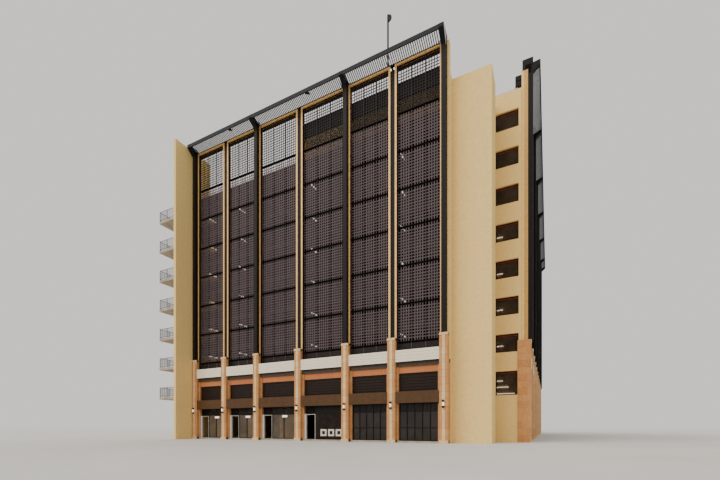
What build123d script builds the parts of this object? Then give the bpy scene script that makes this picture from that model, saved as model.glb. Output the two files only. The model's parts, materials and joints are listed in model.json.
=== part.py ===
from build123d import *
import os

# Multi storey car park, modelled at half its real size, in millimetres.
# X runs along the street front, Y runs from the front to the back, Z is up.
# The origin is on the ground, under the middle pilaster of the front.
# A real metre is 500 mm here, so a storey of 3.3 m is about 1660 mm.

# Plan of the front: six bays in three pairs
side_bay = 2280.0
centre_bay = 2650.0
front_depth = 175.0

# Plan of the right side: eleven bays
flank_bay = 2153.0
flank_bay_count = 11

# The back has its own bay count between the same corners
back_bay_count = 8

# Storeys
ground_slab_top = 75.0
mezzanine_top = 1650.0
first_deck_top = 3450.0
storey = 1660.0
upper_deck_count = 6
slab_thickness = 150.0
upstand_height = 525.0
upstand_thickness = 100.0

# Stepped core at the front right corner
wall_thickness = 150.0
step_one_setback = 715.0
step_one_width = 1575.0
step_two_setback = 2900.0
core_return_setback = 1835.0
core_return_step = 165.0
core_step_down = 400.0
core_width = 3100.0

# Windows of the core wall
core_window_height = 810.0
core_low_window_height = 1070.0
core_window_inset = 40.0
core_window_margin = 115.0
core_top_window_head = 14795.0
core_wall_above_window = 825.0

# Left flank wall and the fin that stands out in front of it
flank_wall_thickness = 175.0
flank_wall_top = 13950.0
fin_reach = 1045.0
fin_top = 16600.0
flank_window_width = 880.0
flank_window_height = 750.0
flank_window_first = 4600.0
flank_window_pitch = 6600.0
flank_window_columns = 3
flank_window_sill = 525.0

# Balconies on the outer side of the fin
balcony_reach = 1200.0
balcony_length = 1725.0
balcony_thickness = 125.0
balcony_top_bottom = 12190.0
balcony_count = 7
rail_height = 550.0
rail_bar = 20.0
rail_post_pitch = 900.0
rail_inset = 15.0
rail_corner_gap = 2.0

# Stone pilasters
pilaster_width = 380.0
pilaster_top = 4500.0
pilaster_cap_height = 150.0
pilaster_cap_proud = 20.0
pilaster_plinth_height = 75.0
pilaster_plinth_proud = 15.0
pilaster_strip_width = 150.0
pilaster_strip_proud = 20.0
jamb_width = 85.0
wrap_thickness = 50.0
wrap_width = 535.0

# Street storey infill
infill_setback = 275.0
infill_thickness = 50.0
fascia_bottom = 1690.0
fascia_top = 2185.0
fascia_setback = 25.0
louvre_pitch = 120.0
louvre_blade = 30.0
louvre_depth = 25.0
lintel_bottom = 2980.0
lintel_setback = 215.0
band_height = 500.0
band_setback = 30.0
band_groove_count = 3
band_groove_height = 20.0
band_groove_depth = 15.0
glazing_bar = 40.0
door_width = 500.0
door_height = 1200.0
doorway_offset = 60.0
doorway_count = 4

# Frames and screens of the upper storeys
frame_width = 85.0
frame_depth = 200.0
frame_half_gap = 105.0
frame_top = 16400.0
screen_setback = 135.0
screen_thickness = 30.0
screen_border = 45.0
screen_joint_first = 4330.0
screen_rows = 7
screen_mullion = 30.0
screen_panes = 3
panel_bottom = 3950.0

# Posts and dark columns on the pilaster lines
post_setback = 50.0
dark_column_width = 200.0
dark_column_top = 16600.0

# Canopy of the roof edge
canopy_reach = 380.0
canopy_rise = 225.0
canopy_sheet = 20.0
canopy_foot = 90.0
canopy_beam_depth = 125.0
canopy_beam_width = 40.0
bracket_root_depth = 420.0

# Inner columns carry the decks in two rows
inner_column = 250.0
inner_row_first = 5785.0
inner_row_pitch = 5785.0

# Roof block behind the front screens
block_back = 6450.0
block_front_setback = 1225.0
block_left = -870.0
block_parapet = 480.0
block_roof_thickness = 150.0
block_fascia_depth = 750.0

# Roof box, handrail, mast and lamps
roof_box_width = 260.0
roof_box_length = 1000.0
roof_box_height = 1225.0
roof_box_slots = 4
mast_diameter = 45.0
mast_height = 2460.0
mast_offset = 270.0
lantern_width = 110.0
round_sides = 12
lantern_height = 320.0
lantern_bottom = 1440.0
batten_length = 600.0
batten_width = 60.0
batten_drop = 50.0
batten_setback = 1250.0

# Vehicle entrance in the right side
entrance_bay = 9

# Sizes that follow from the ones above
front_lines = [-centre_bay - 2 * side_bay, -centre_bay - side_bay, -centre_bay, 0.0]
front_lines += [centre_bay, centre_bay + side_bay, centre_bay + 2 * side_bay]
half_pilaster = pilaster_width / 2
left_face = front_lines[0] - half_pilaster
notch_x = front_lines[-1] + half_pilaster
right_face = notch_x + core_width - half_pilaster
frame_front = front_depth
frame_back = frame_front + frame_depth
right_line_start = step_two_setback + half_pilaster
right_length = flank_bay * flank_bay_count
back_face = right_line_start + right_length + half_pilaster
deck_tops = [first_deck_top + storey * i for i in range(upper_deck_count + 1)]
roof_top = deck_tops[-1]
inner_right = right_face - frame_back
inner_back = back_face - frame_back
back_line_start = right_face - front_depth - half_pilaster
back_line_end = left_face + half_pilaster
back_bay = (back_line_start - back_line_end) / back_bay_count
right_lines = [flank_bay * i for i in range(flank_bay_count + 1)]
back_lines = [back_bay * i for i in range(back_bay_count + 1)]
core_x = notch_x + step_one_width
core_inner_x = core_x - core_return_step
window_wall_top = core_top_window_head + core_wall_above_window
core_top = window_wall_top - core_step_down
core_window_width = inner_right - core_inner_x - core_window_inset - core_window_margin
half_opening = half_pilaster + jamb_width
low_post_top = first_deck_top - slab_thickness


def block(x0, x1, y0, y1, z0, z1):
    """A plain block between two corners."""
    centre = ((x0 + x1) / 2, (y0 + y1) / 2, (z0 + z1) / 2)
    return Pos(*centre) * Box(abs(x1 - x0), abs(y1 - y0), abs(z1 - z0))


def slab(points, bottom, top):
    """A level slab on a plan outline."""
    outline = make_face(Polyline(*points, close=True))
    return extrude(Pos(0, 0, bottom) * outline, amount=top - bottom, dir=(0, 0, 1))


def upright(points, start, length):
    """A side profile of (depth, height) points, drawn out along X from start."""
    face = make_face(Polyline(*[(start, y, z) for y, z in points], close=True))
    return extrude(face, amount=length, dir=(1, 0, 0))


def rod(x, y, bottom, width, height):
    """A round upright rod, drawn with flat sides."""
    outline = RegularPolygon(width / 2, round_sides)
    return extrude(Pos(x, y, bottom) * outline, amount=height, dir=(0, 0, 1))


def save(name, shapes):
    """Write one sub-part, made of one solid or of several that do not touch."""
    solids = [s for shape in shapes for s in shape.solids()]
    export_step(Compound(children=solids) if len(solids) > 1 else solids[0], f"parts/{name}.step")


# Each facade is drawn as if it faced the street, then turned to its own side
class Facade:
    """One side of the building: its pilaster lines and its place in plan."""

    def __init__(self, name, lines, place, low_ends, high_ends, dark_lines):
        self.name = name
        self.lines = lines
        self.place = place
        self.low_ends = low_ends
        self.high_ends = high_ends
        self.dark_lines = dark_lines

    def bays(self):
        return list(zip(self.lines[:-1], self.lines[1:]))

    def dark_places(self):
        return [self.lines[i] for i in self.dark_lines]

    def spans(self, half_width, ends):
        """Left and right edges at each line, with the two ends cut to what they meet."""
        edges = [[u - half_width, u + half_width] for u in self.lines]
        if ends[0] is not None:
            edges[0][0] = ends[0]
        if ends[1] is not None:
            edges[-1][1] = ends[1]
        return edges

    def set_in_place(self, shapes):
        return [self.place * s for s in shapes]


def make_facades():
    """The street front, the right side and the back, cut to each other at the corners."""
    half = half_pilaster
    corner = back_face - frame_front - right_line_start
    right_dark = list(range(0, flank_bay_count, 2)) + [flank_bay_count]
    back_first = back_line_start - inner_right
    front = Facade("front", front_lines, Pos(0, 0, 0), (left_face, notch_x), (left_face, None), [0, 2, 4, 6])
    right = Facade("right", right_lines, Pos(right_face, right_line_start, 0) * Rot(0, 0, 90),
                   (-half, corner), (None, corner - post_setback), right_dark)
    back = Facade("back", back_lines, Pos(back_line_start, back_face, 0) * Rot(0, 0, 180),
                  (back_first, back_lines[-1] + half), (back_first, back_lines[-1] + half),
                  list(range(0, back_bay_count + 1, 2)))
    return front, right, back


def pilaster(u):
    """Stone pilaster with a plinth, a proud centre strip and a cap."""
    left, right = u - half_pilaster, u + half_pilaster
    strip_half = pilaster_strip_width / 2
    face = -pilaster_strip_proud
    shaft = block(left, right, 0, front_depth, 0, pilaster_top)
    strip = block(u - strip_half, u + strip_half, face, 0, 0, pilaster_top)
    plinth = block(left, right, face - pilaster_plinth_proud, 0, 0, pilaster_plinth_height)
    cap = block(left, right, face - pilaster_cap_proud, 0, pilaster_top - pilaster_cap_height, pilaster_top)
    return shaft + strip + plinth + cap


def pilasters(facade, wrap=0.0):
    """All pilasters of one side, the first with a return that wraps the corner."""
    shapes = [pilaster(u) for u in facade.lines]
    if wrap:
        edge = facade.lines[0] - half_pilaster
        shapes[0] += block(edge - wrap_thickness, edge, 0, wrap, 0, pilaster_top)
    save(f"{facade.name}_pilasters", facade.set_in_place(shapes))


def jambs(facade):
    """Stone posts behind the pilasters, wider than them, that frame the street openings."""
    return facade.set_in_place([
        block(left, right, frame_front, frame_back, ground_slab_top, low_post_top)
        for left, right in facade.spans(half_opening, facade.low_ends)])


def posts(facade):
    """Slender posts above the first deck, between the frames."""
    save(f"{facade.name}_posts", facade.set_in_place([
        block(left, right, frame_front + post_setback, frame_back, first_deck_top, frame_top)
        for left, right in facade.spans(frame_half_gap, facade.high_ends)]))


def dark_columns(facade):
    """Dark columns on the pilaster caps, with tapered arms that carry the canopy."""
    half = dark_column_width / 2
    z = dark_column_top
    tip = frame_top + canopy_rise
    arm = [(0, z - bracket_root_depth), (0, z), (-canopy_reach, tip + canopy_sheet),
           (-canopy_reach, tip - canopy_beam_depth)]
    shapes = []
    for u in facade.dark_places():
        shaft = block(u - half, u + half, 0, frame_front + post_setback, pilaster_top, z)
        shapes.append(shaft + upright(arm, u - half, dark_column_width))
    return facade.set_in_place(shapes)


def canopies(facade):
    """Raking sheets with an edge beam, one for each pair of bays, between the dark columns."""
    half = dark_column_width / 2
    z = frame_top
    tip = z + canopy_rise
    slope = canopy_rise / (canopy_reach + frame_front)
    foot = frame_front + canopy_foot
    beam_back = -canopy_reach + canopy_beam_width
    beam_z = z + slope * (frame_front - beam_back)
    profile = [(foot, z), (frame_front, z), (beam_back, beam_z), (beam_back, tip - canopy_beam_depth),
               (-canopy_reach, tip - canopy_beam_depth), (-canopy_reach, tip + canopy_sheet),
               (frame_front, z + canopy_sheet), (foot, z + canopy_sheet)]
    places = facade.dark_places()
    return facade.set_in_place([upright(profile, a + half, b - a - 2 * half)
                                for a, b in zip(places[:-1], places[1:])])


def ribbed_band(left, right):
    """Parapet band with level grooves in its face."""
    low, high = first_deck_top, first_deck_top + band_height
    pitch = band_height / (band_groove_count + 1)
    profile = [(frame_front, low), (band_setback, low)]
    for i in range(band_groove_count):
        foot = low + (i + 1) * pitch - band_groove_height / 2
        top = foot + band_groove_height
        bottom = band_setback + band_groove_depth
        profile += [(band_setback, foot), (bottom, foot), (bottom, top), (band_setback, top)]
    profile += [(band_setback, high), (frame_front, high)]
    return upright(profile, left, right - left)


def bands(facade):
    """The pale grooved parapet between the pilasters at the first deck."""
    return facade.set_in_place([ribbed_band(left + half_pilaster, right - half_pilaster)
                                for left, right in facade.bays()])


def lintels(facade):
    """Stone lintels under the first deck, between the jambs."""
    return facade.set_in_place([
        block(a + half_opening, b - half_opening, lintel_setback, frame_back, lintel_bottom, low_post_top)
        for a, b in facade.bays()])


def frame_uprights(facade):
    """The two upright members of each bay's frame, on the edge of the first deck."""
    top = frame_top - frame_width
    shapes = []
    for left, right in facade.bays():
        a, b = left + frame_half_gap, right - frame_half_gap
        shapes.append(block(a, a + frame_width, frame_front, frame_back, first_deck_top, top))
        shapes.append(block(b - frame_width, b, frame_front, frame_back, first_deck_top, top))
    return facade.set_in_place(shapes)


def frame_heads(facade):
    """The top member of each bay's frame, on its two uprights."""
    return facade.set_in_place([
        block(a + frame_half_gap, b - frame_half_gap, frame_front, frame_back,
              frame_top - frame_width, frame_top)
        for a, b in facade.bays()])


def screen_edges(left, right):
    """Left and right edge of one bay of screens."""
    return left + frame_half_gap + frame_width, right - frame_half_gap - frame_width


def screen_mullions(facade):
    """Upright bars of the screens, in front of their rails."""
    front = frame_front + screen_setback
    back = front + screen_thickness / 2
    top = frame_top - frame_width
    shapes = []
    for left, right in facade.bays():
        a, b = screen_edges(left, right)
        pitch = (b - a - screen_mullion) / screen_panes
        for i in range(screen_panes + 1):
            x = a + i * pitch
            shapes.append(block(x, x + screen_mullion, front, back, panel_bottom, top))
    return facade.set_in_place(shapes)


def screen_rails(facade):
    """Level rails of the screens at every joint, with a low panel and a head panel."""
    front = frame_front + screen_setback + screen_thickness / 2
    back = front + screen_thickness / 2
    shapes = []
    for left, right in facade.bays():
        a, b = screen_edges(left, right)
        for row in range(screen_rows + 1):
            joint = screen_joint_first + row * storey
            low = panel_bottom if row == 0 else joint - screen_border
            low = joint + screen_border if row == screen_rows else low
            high = frame_top - frame_width if row == screen_rows else joint + screen_border
            shapes.append(block(a, b, front, back, low, high))
    return facade.set_in_place(shapes)


def upstands():
    """Parapet walls on the edge of every deck."""
    t = upstand_thickness
    street, back = [], []
    for top in deck_tops:
        z = (top, top + upstand_height)
        street.append(block(left_face, notch_x - wall_thickness, frame_back, frame_back + t, *z))
        street.append(block(inner_right - t, inner_right, step_two_setback + wall_thickness,
                            inner_back - t, *z))
        back.append(block(left_face, inner_right, inner_back - t, inner_back, *z))
    save("street_upstands", street)
    save("back_upstands", back)


def wide_outline():
    """Plan of the levels that reach out to the backs of the pilasters."""
    w = wall_thickness
    outer = right_face - frame_front
    return [(left_face, frame_front), (notch_x, frame_front), (notch_x, frame_back),
            (notch_x - w, frame_back), (notch_x - w, step_one_setback + w),
            (core_inner_x - w, step_one_setback + w), (core_inner_x - w, step_two_setback + w),
            (inner_right, step_two_setback + w), (inner_right, step_two_setback),
            (outer, step_two_setback), (outer, back_face - frame_front),
            (left_face, back_face - frame_front)]


def deck_outline():
    """Plan of the levels that stop behind the frames."""
    w = wall_thickness
    return [(left_face, frame_back), (notch_x - w, frame_back), (notch_x - w, step_one_setback + w),
            (core_inner_x - w, step_one_setback + w), (core_inner_x - w, step_two_setback + w),
            (inner_right, step_two_setback + w), (inner_right, inner_back), (left_face, inner_back)]


def decks():
    """The ground slab, the mezzanine, the parking decks and the roof deck."""
    t = slab_thickness
    save("ground_slab", [slab(wide_outline(), 0, ground_slab_top)])
    save("mezzanine_deck", [slab(deck_outline(), mezzanine_top - t, mezzanine_top)])
    save("first_deck", [slab(wide_outline(), first_deck_top - t, first_deck_top)])
    save("upper_decks", [slab(deck_outline(), top - t, top) for top in deck_tops[1:-1]])
    save("roof_deck", [slab(deck_outline(), roof_top - t, roof_top)])


def inner_columns():
    """Two rows of columns, cast storey by storey, on every other line of the right side."""
    half = inner_column / 2
    rows = [left_face + inner_row_first, left_face + inner_row_first + inner_row_pitch]
    levels = [ground_slab_top, mezzanine_top] + deck_tops
    shapes = []
    for low, high in zip(levels[:-1], levels[1:]):
        for x in rows:
            for u in right_lines[2:-1:2]:
                y = right_line_start + u
                shapes.append(block(x - half, x + half, y - half, y + half, low, high - slab_thickness))
    save("inner_columns", shapes)


def core_walls():
    """The stepped walls at the front right and the pier that closes the front beside them."""
    w = wall_thickness
    plan = [(notch_x - w, frame_back), (notch_x, frame_back), (notch_x, step_one_setback),
            (core_x, step_one_setback), (core_x, core_return_setback), (core_inner_x, core_return_setback),
            (core_inner_x, step_two_setback), (core_inner_x - w, step_two_setback),
            (core_inner_x - w, step_one_setback + w), (notch_x - w, step_one_setback + w)]
    save("core_stepped_wall", [slab(plan, 0, core_top)])
    save("core_edge_pier", [block(front_lines[-1] + frame_half_gap, notch_x, frame_front, frame_back,
                                  first_deck_top, frame_top)])
    y0, y1 = step_two_setback, step_two_setback + w
    openings = core_window_openings()
    cuts = [block(a, b, y0, y1, low, high) for a, b, low, high in openings]
    save("core_window_wall", [block(core_inner_x - w, inner_right, y0, y1, 0, window_wall_top) - cuts])
    save("core_windows", [core_window(*opening) for opening in openings])
    rail_z = window_wall_top + rail_bar * 4
    y = (y0 + y1) / 2
    x1 = inner_right - w
    rail = block(core_inner_x, x1, y - rail_bar / 2, y + rail_bar / 2, rail_z, rail_z + rail_bar)
    for i in range(4):
        x = core_inner_x + i * (x1 - core_inner_x - rail_bar) / 3
        rail += block(x, x + rail_bar, y - rail_bar / 2, y + rail_bar / 2, window_wall_top, rail_z)
    save("core_handrail", [rail])


def core_window_openings():
    """Left, right, sill and head of the windows in the core wall, from the top down."""
    x0 = core_inner_x + core_window_inset
    openings = []
    for i in range(upper_deck_count + 2):
        head = core_top_window_head - storey * i
        low = i == upper_deck_count + 1
        height = core_low_window_height if low else core_window_height
        openings.append((x0, x0 + core_window_width, head - height, head))
    return openings


def core_window(a, b, low, high):
    """A window frame with its pane, half way through the wall."""
    g = glazing_bar
    y = step_two_setback + wall_thickness / 2
    frame = block(a, b, y, y + g / 2, low, high)
    return frame - block(a + g, b - g, y, y + g / 4, low + g, high - g)


def left_side():
    """The plain flank wall with its windows, and the fin that stands in front."""
    x0, x1 = left_face - flank_wall_thickness, left_face
    cuts, panes = [], []
    x = (x0 + x1) / 2
    for i in range(flank_window_columns):
        y = frame_back + flank_window_first + i * flank_window_pitch
        for top in deck_tops[:-1]:
            sill = top + flank_window_sill
            size = (y, y + flank_window_width, sill, sill + flank_window_height)
            cuts.append(block(x0, x1, *size))
            panes.append(block(x, x + glazing_bar / 2, *size))
    save("left_flank_wall", [block(x0, x1, frame_back, back_face, 0, flank_wall_top) - cuts])
    save("left_flank_windows", panes)
    save("front_fin", [block(x0, x1, -fin_reach, frame_back, 0, fin_top)])


def balconies():
    """Slabs that reach out from the fin, each with railings on its three open sides."""
    x1 = left_face - flank_wall_thickness
    x0 = x1 - balcony_reach
    y0 = -fin_reach
    y1 = y0 + balcony_length
    slabs, rails = [], []
    for i in range(balcony_count):
        z = balcony_top_bottom - storey * i
        top = z + balcony_thickness
        slabs.append(block(x0, x1, y0, y1, z, top))
        edge = x0 + rail_inset
        turned = Pos(edge + rail_bar, y0 + rail_inset, top) * Rot(0, 0, 90)
        rails.append(turned * railing(y1 - y0 - 2 * rail_inset))
        start = edge + rail_bar + rail_corner_gap
        rails.append(Pos(start, y0 + rail_inset, top) * railing(x1 - start))
        rails.append(Pos(start, y1 - rail_inset - rail_bar, top) * railing(x1 - start))
    save("balcony_slabs", slabs)
    save("balcony_rails", rails)


def railing(length):
    """A flat railing along X: posts between a foot rail and a hand rail."""
    b = rail_bar
    shape = block(0, length, 0, b, rail_height - b, rail_height) + block(0, length, 0, b, 3 * b, 4 * b)
    count = max(1, round(length / rail_post_pitch))
    for i in range(count + 1):
        x = i * (length - b) / count
        shape += block(x, x + b, 0, b, 0, rail_height)
    return shape


def glazed(a, b, z0, z1, lights):
    """A glazed frame with its panes set back between upright bars."""
    front = infill_setback
    frame = block(a, b, front, front + infill_thickness, z0, z1)
    span = (b - a - glazing_bar) / lights
    low, high = z0 + glazing_bar, z1 - glazing_bar
    panes = [block(a + glazing_bar + i * span, a + (i + 1) * span, front, front + infill_thickness / 2,
                   low, high) for i in range(lights)]
    return frame - panes


def street_front(front):
    """Shop glazing, open doorways, fascia boxes and louvres, behind the street pilasters."""
    glazing, doorways, fascias, louvres = [], [], [], []
    for i, (left, right) in enumerate(front.bays()):
        a, b = left + half_opening, right - half_opening
        if i < doorway_count:
            door_end = a + doorway_offset + door_width + doorway_offset
            doorways.append(doorway(a, door_end))
            glazing.append(glazed(door_end, b, ground_slab_top, fascia_bottom, 2))
        else:
            glazing.append(glazed(a, b, ground_slab_top, fascia_bottom, 3))
        fascias.append(block(left + half_pilaster, right - half_pilaster, fascia_setback, frame_front,
                             fascia_bottom, fascia_top))
        louvres.append(louvre(a, b, fascia_bottom, lintel_bottom, fascia_top))
    save("shop_glazing", glazing)
    save("shop_doorways", doorways)
    save("fascia_boxes", fascias)
    save("louvres", louvres)


def doorway(a, b):
    """A deep pale surround with an open way through, below a plain panel."""
    y0, y1 = infill_setback - infill_thickness, infill_setback + infill_thickness
    surround = block(a, b, y0, y1, ground_slab_top, fascia_bottom)
    way = block(a + doorway_offset, b - doorway_offset, y0, y1, ground_slab_top,
                ground_slab_top + door_height)
    recess = block(a + doorway_offset, b - doorway_offset, y0, infill_setback,
                   ground_slab_top + door_height + glazing_bar, fascia_bottom - glazing_bar)
    return surround - [way, recess]


def louvre(a, b, z0, z1, first):
    """A panel with level louvre slots above the fascia box that stands in front of it."""
    front = infill_setback
    rim = glazing_bar
    panel = block(a, b, front, front + infill_thickness, z0, z1)
    count = int((z1 - first - rim) // louvre_pitch)
    pitch = (z1 - first - rim) / count
    slots = [block(a + rim, b - rim, front, front + louvre_depth, first + k * pitch,
                   first + (k + 1) * pitch - louvre_blade) for k in range(count)]
    return panel - slots


def side_infill(facade, open_bays=()):
    """Dark glazing between the pilasters, from the ground or above a vehicle entrance."""
    shapes = []
    for i, (left, right) in enumerate(facade.bays()):
        foot = mezzanine_top - slab_thickness if i in open_bays else ground_slab_top
        shapes.append(glazed(left + half_opening, right - half_opening, foot, lintel_bottom, 2))
    return facade.set_in_place(shapes)


def roof_block():
    """The walls, the roof and the front fascia of the block on the roof deck."""
    w = wall_thickness
    y0 = frame_back + block_front_setback
    z0, z1 = roof_top, core_top - block_roof_thickness
    edge = inner_right - upstand_thickness
    x0 = block_left
    plan = [(x0, y0), (notch_x - w, y0), (notch_x - w, y0 + w), (x0 + w, y0 + w), (x0 + w, block_back - w),
            (edge, block_back - w), (edge, block_back), (x0, block_back)]
    save("roof_block_walls", [slab(plan, z0, z1)])
    front = frame_back + upstand_thickness
    roof = [(x0 - w, front), (notch_x - w, front), (notch_x - w, step_one_setback + w),
            (core_inner_x - w, step_one_setback + w), (core_inner_x - w, step_two_setback + w),
            (inner_right, step_two_setback + w), (inner_right, block_back + w), (x0 - w, block_back + w)]
    save("roof_block_roof", [slab(roof, z1, core_top)])
    save("roof_block_fascia", [block(x0 - w, notch_x - w, frame_back, front,
                                     core_top - block_fascia_depth, core_top + block_parapet)])


def roof_box():
    """A louvred plant box on the roof behind the core wall."""
    x1 = inner_right - rail_inset
    x0 = x1 - roof_box_width
    y = step_two_setback + 2 * wall_thickness
    body = block(x0, x1, y, y + roof_box_length, core_top, core_top + roof_box_height)
    slots = []
    for k in range(roof_box_slots):
        z = core_top + (k + 1) * roof_box_height / (roof_box_slots + 1)
        slots.append(block(x0, x1, y, y + louvre_blade * 2, z, z + louvre_blade))
    save("roof_box", [body - slots])


def small_fittings(front):
    """Lanterns on the pilasters, lamp battens under the decks and the roof mast."""
    y = -pilaster_strip_proud - lantern_width / 2
    save("lanterns", [rod(u, y, lantern_bottom, lantern_width, lantern_height) for u in front.lines])
    y = frame_back + batten_setback
    battens = []
    for top in deck_tops[1:]:
        z = top - slab_thickness
        for a, b in front.bays():
            x = (a + b) / 2
            battens.append(block(x - batten_length / 2, x + batten_length / 2, y, y + batten_width,
                                 z - batten_drop, z))
    save("lamp_battens", battens)
    foot = (frame_front + canopy_foot + frame_back) / 2
    save("roof_mast", [rod(front.lines[5] - mast_offset, foot, frame_top, mast_diameter, mast_height)])


def build():
    """Make every sub-part and write it to its own file."""
    os.makedirs("parts", exist_ok=True)
    front, right, back = facades = make_facades()
    decks()
    inner_columns()
    upstands()
    core_walls()
    left_side()
    balconies()
    for facade in facades:
        pilasters(facade, wrap_width if facade is right else 0)
        posts(facade)
    shared = {
        "stone_jambs": jambs, "dark_columns": dark_columns, "canopies": canopies, "parapet_bands": bands,
        "stone_lintels": lintels, "frame_uprights": frame_uprights, "frame_heads": frame_heads,
        "screen_mullions": screen_mullions, "screen_rails": screen_rails}
    for name, make in shared.items():
        save(name, [shape for facade in facades for shape in make(facade)])
    street_front(front)
    save("side_glazing", side_infill(right, (entrance_bay,)) + side_infill(back))
    roof_block()
    roof_box()
    small_fittings(front)


build()
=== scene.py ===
import json
import logging
import math
from collections import defaultdict
from collections.abc import Callable
from dataclasses import dataclass, field
from enum import Enum
from functools import cache

import bpy
from mathutils import Matrix, Vector

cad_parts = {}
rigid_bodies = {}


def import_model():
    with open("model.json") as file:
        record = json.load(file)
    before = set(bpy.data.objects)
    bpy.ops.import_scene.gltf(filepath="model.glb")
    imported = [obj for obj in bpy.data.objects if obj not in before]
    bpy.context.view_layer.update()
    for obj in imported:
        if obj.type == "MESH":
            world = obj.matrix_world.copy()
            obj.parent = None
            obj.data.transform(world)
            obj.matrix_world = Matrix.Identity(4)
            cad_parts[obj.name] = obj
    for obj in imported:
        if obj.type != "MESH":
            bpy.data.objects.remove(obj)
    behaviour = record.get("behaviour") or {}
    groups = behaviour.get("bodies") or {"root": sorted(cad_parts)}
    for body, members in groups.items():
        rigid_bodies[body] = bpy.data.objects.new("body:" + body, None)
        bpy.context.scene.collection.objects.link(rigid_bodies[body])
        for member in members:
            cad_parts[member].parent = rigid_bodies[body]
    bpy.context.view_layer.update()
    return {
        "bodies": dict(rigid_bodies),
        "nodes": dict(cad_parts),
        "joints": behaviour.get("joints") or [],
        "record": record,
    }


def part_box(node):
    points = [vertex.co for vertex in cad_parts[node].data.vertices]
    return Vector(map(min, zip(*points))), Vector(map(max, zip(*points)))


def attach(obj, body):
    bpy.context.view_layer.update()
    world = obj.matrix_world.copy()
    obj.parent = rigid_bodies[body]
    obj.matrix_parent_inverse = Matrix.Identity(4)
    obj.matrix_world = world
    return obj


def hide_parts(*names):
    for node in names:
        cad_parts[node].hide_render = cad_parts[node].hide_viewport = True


# The dressed multi storey car park, at half its real size, in metres.
# X runs along the street front, Y from the front to the back, Z is up.

log = logging.getLogger("car_park")

Part = bpy.types.Object
Tree = bpy.types.NodeTree
Node = bpy.types.Node
Socket = bpy.types.NodeSocket
Point = tuple[float, float, float]
Span = tuple[float, float]
Opening = tuple[Point, Point, int]
BODY = "root"


# Colour and shader helpers


def linear(hex_colour: str) -> tuple[float, float, float, float]:
    """Turn an sRGB colour into linear values.

    Args:
        hex_colour: a hash and six hex digits.

    Returns:
        Linear red, green and blue, and a full alpha.
    """
    values = []
    for i in (1, 3, 5):
        v = int(hex_colour[i:i + 2], 16) / 255.0
        values.append(v / 12.92 if v <= 0.04045 else ((v + 0.055) / 1.055) ** 2.4)
    return *values, 1.0


def add_node(tree: Tree, kind: str, inputs: dict | None = None, **settings: object) -> Node:
    """Add a shader node with its settings, its values and its links.

    Args:
        tree: the material's node tree.
        kind: the node's type name.
        inputs: input name or number to a value, or to an output socket that is linked to it.
        settings: attributes of the node.

    Returns:
        The new node.
    """
    node = tree.nodes.new(kind)
    for key, value in settings.items():
        setattr(node, key, value)
    for key, value in (inputs or {}).items():
        socket = node.inputs[key]
        if isinstance(value, Socket):
            tree.links.new(value, socket)
        else:
            socket.default_value = value
    return node


class Weather(Enum):
    """How far rain and dust have marked a finish."""

    CLEAN = 0.0
    LIGHT = 0.35
    STREAKED = 0.7


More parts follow.
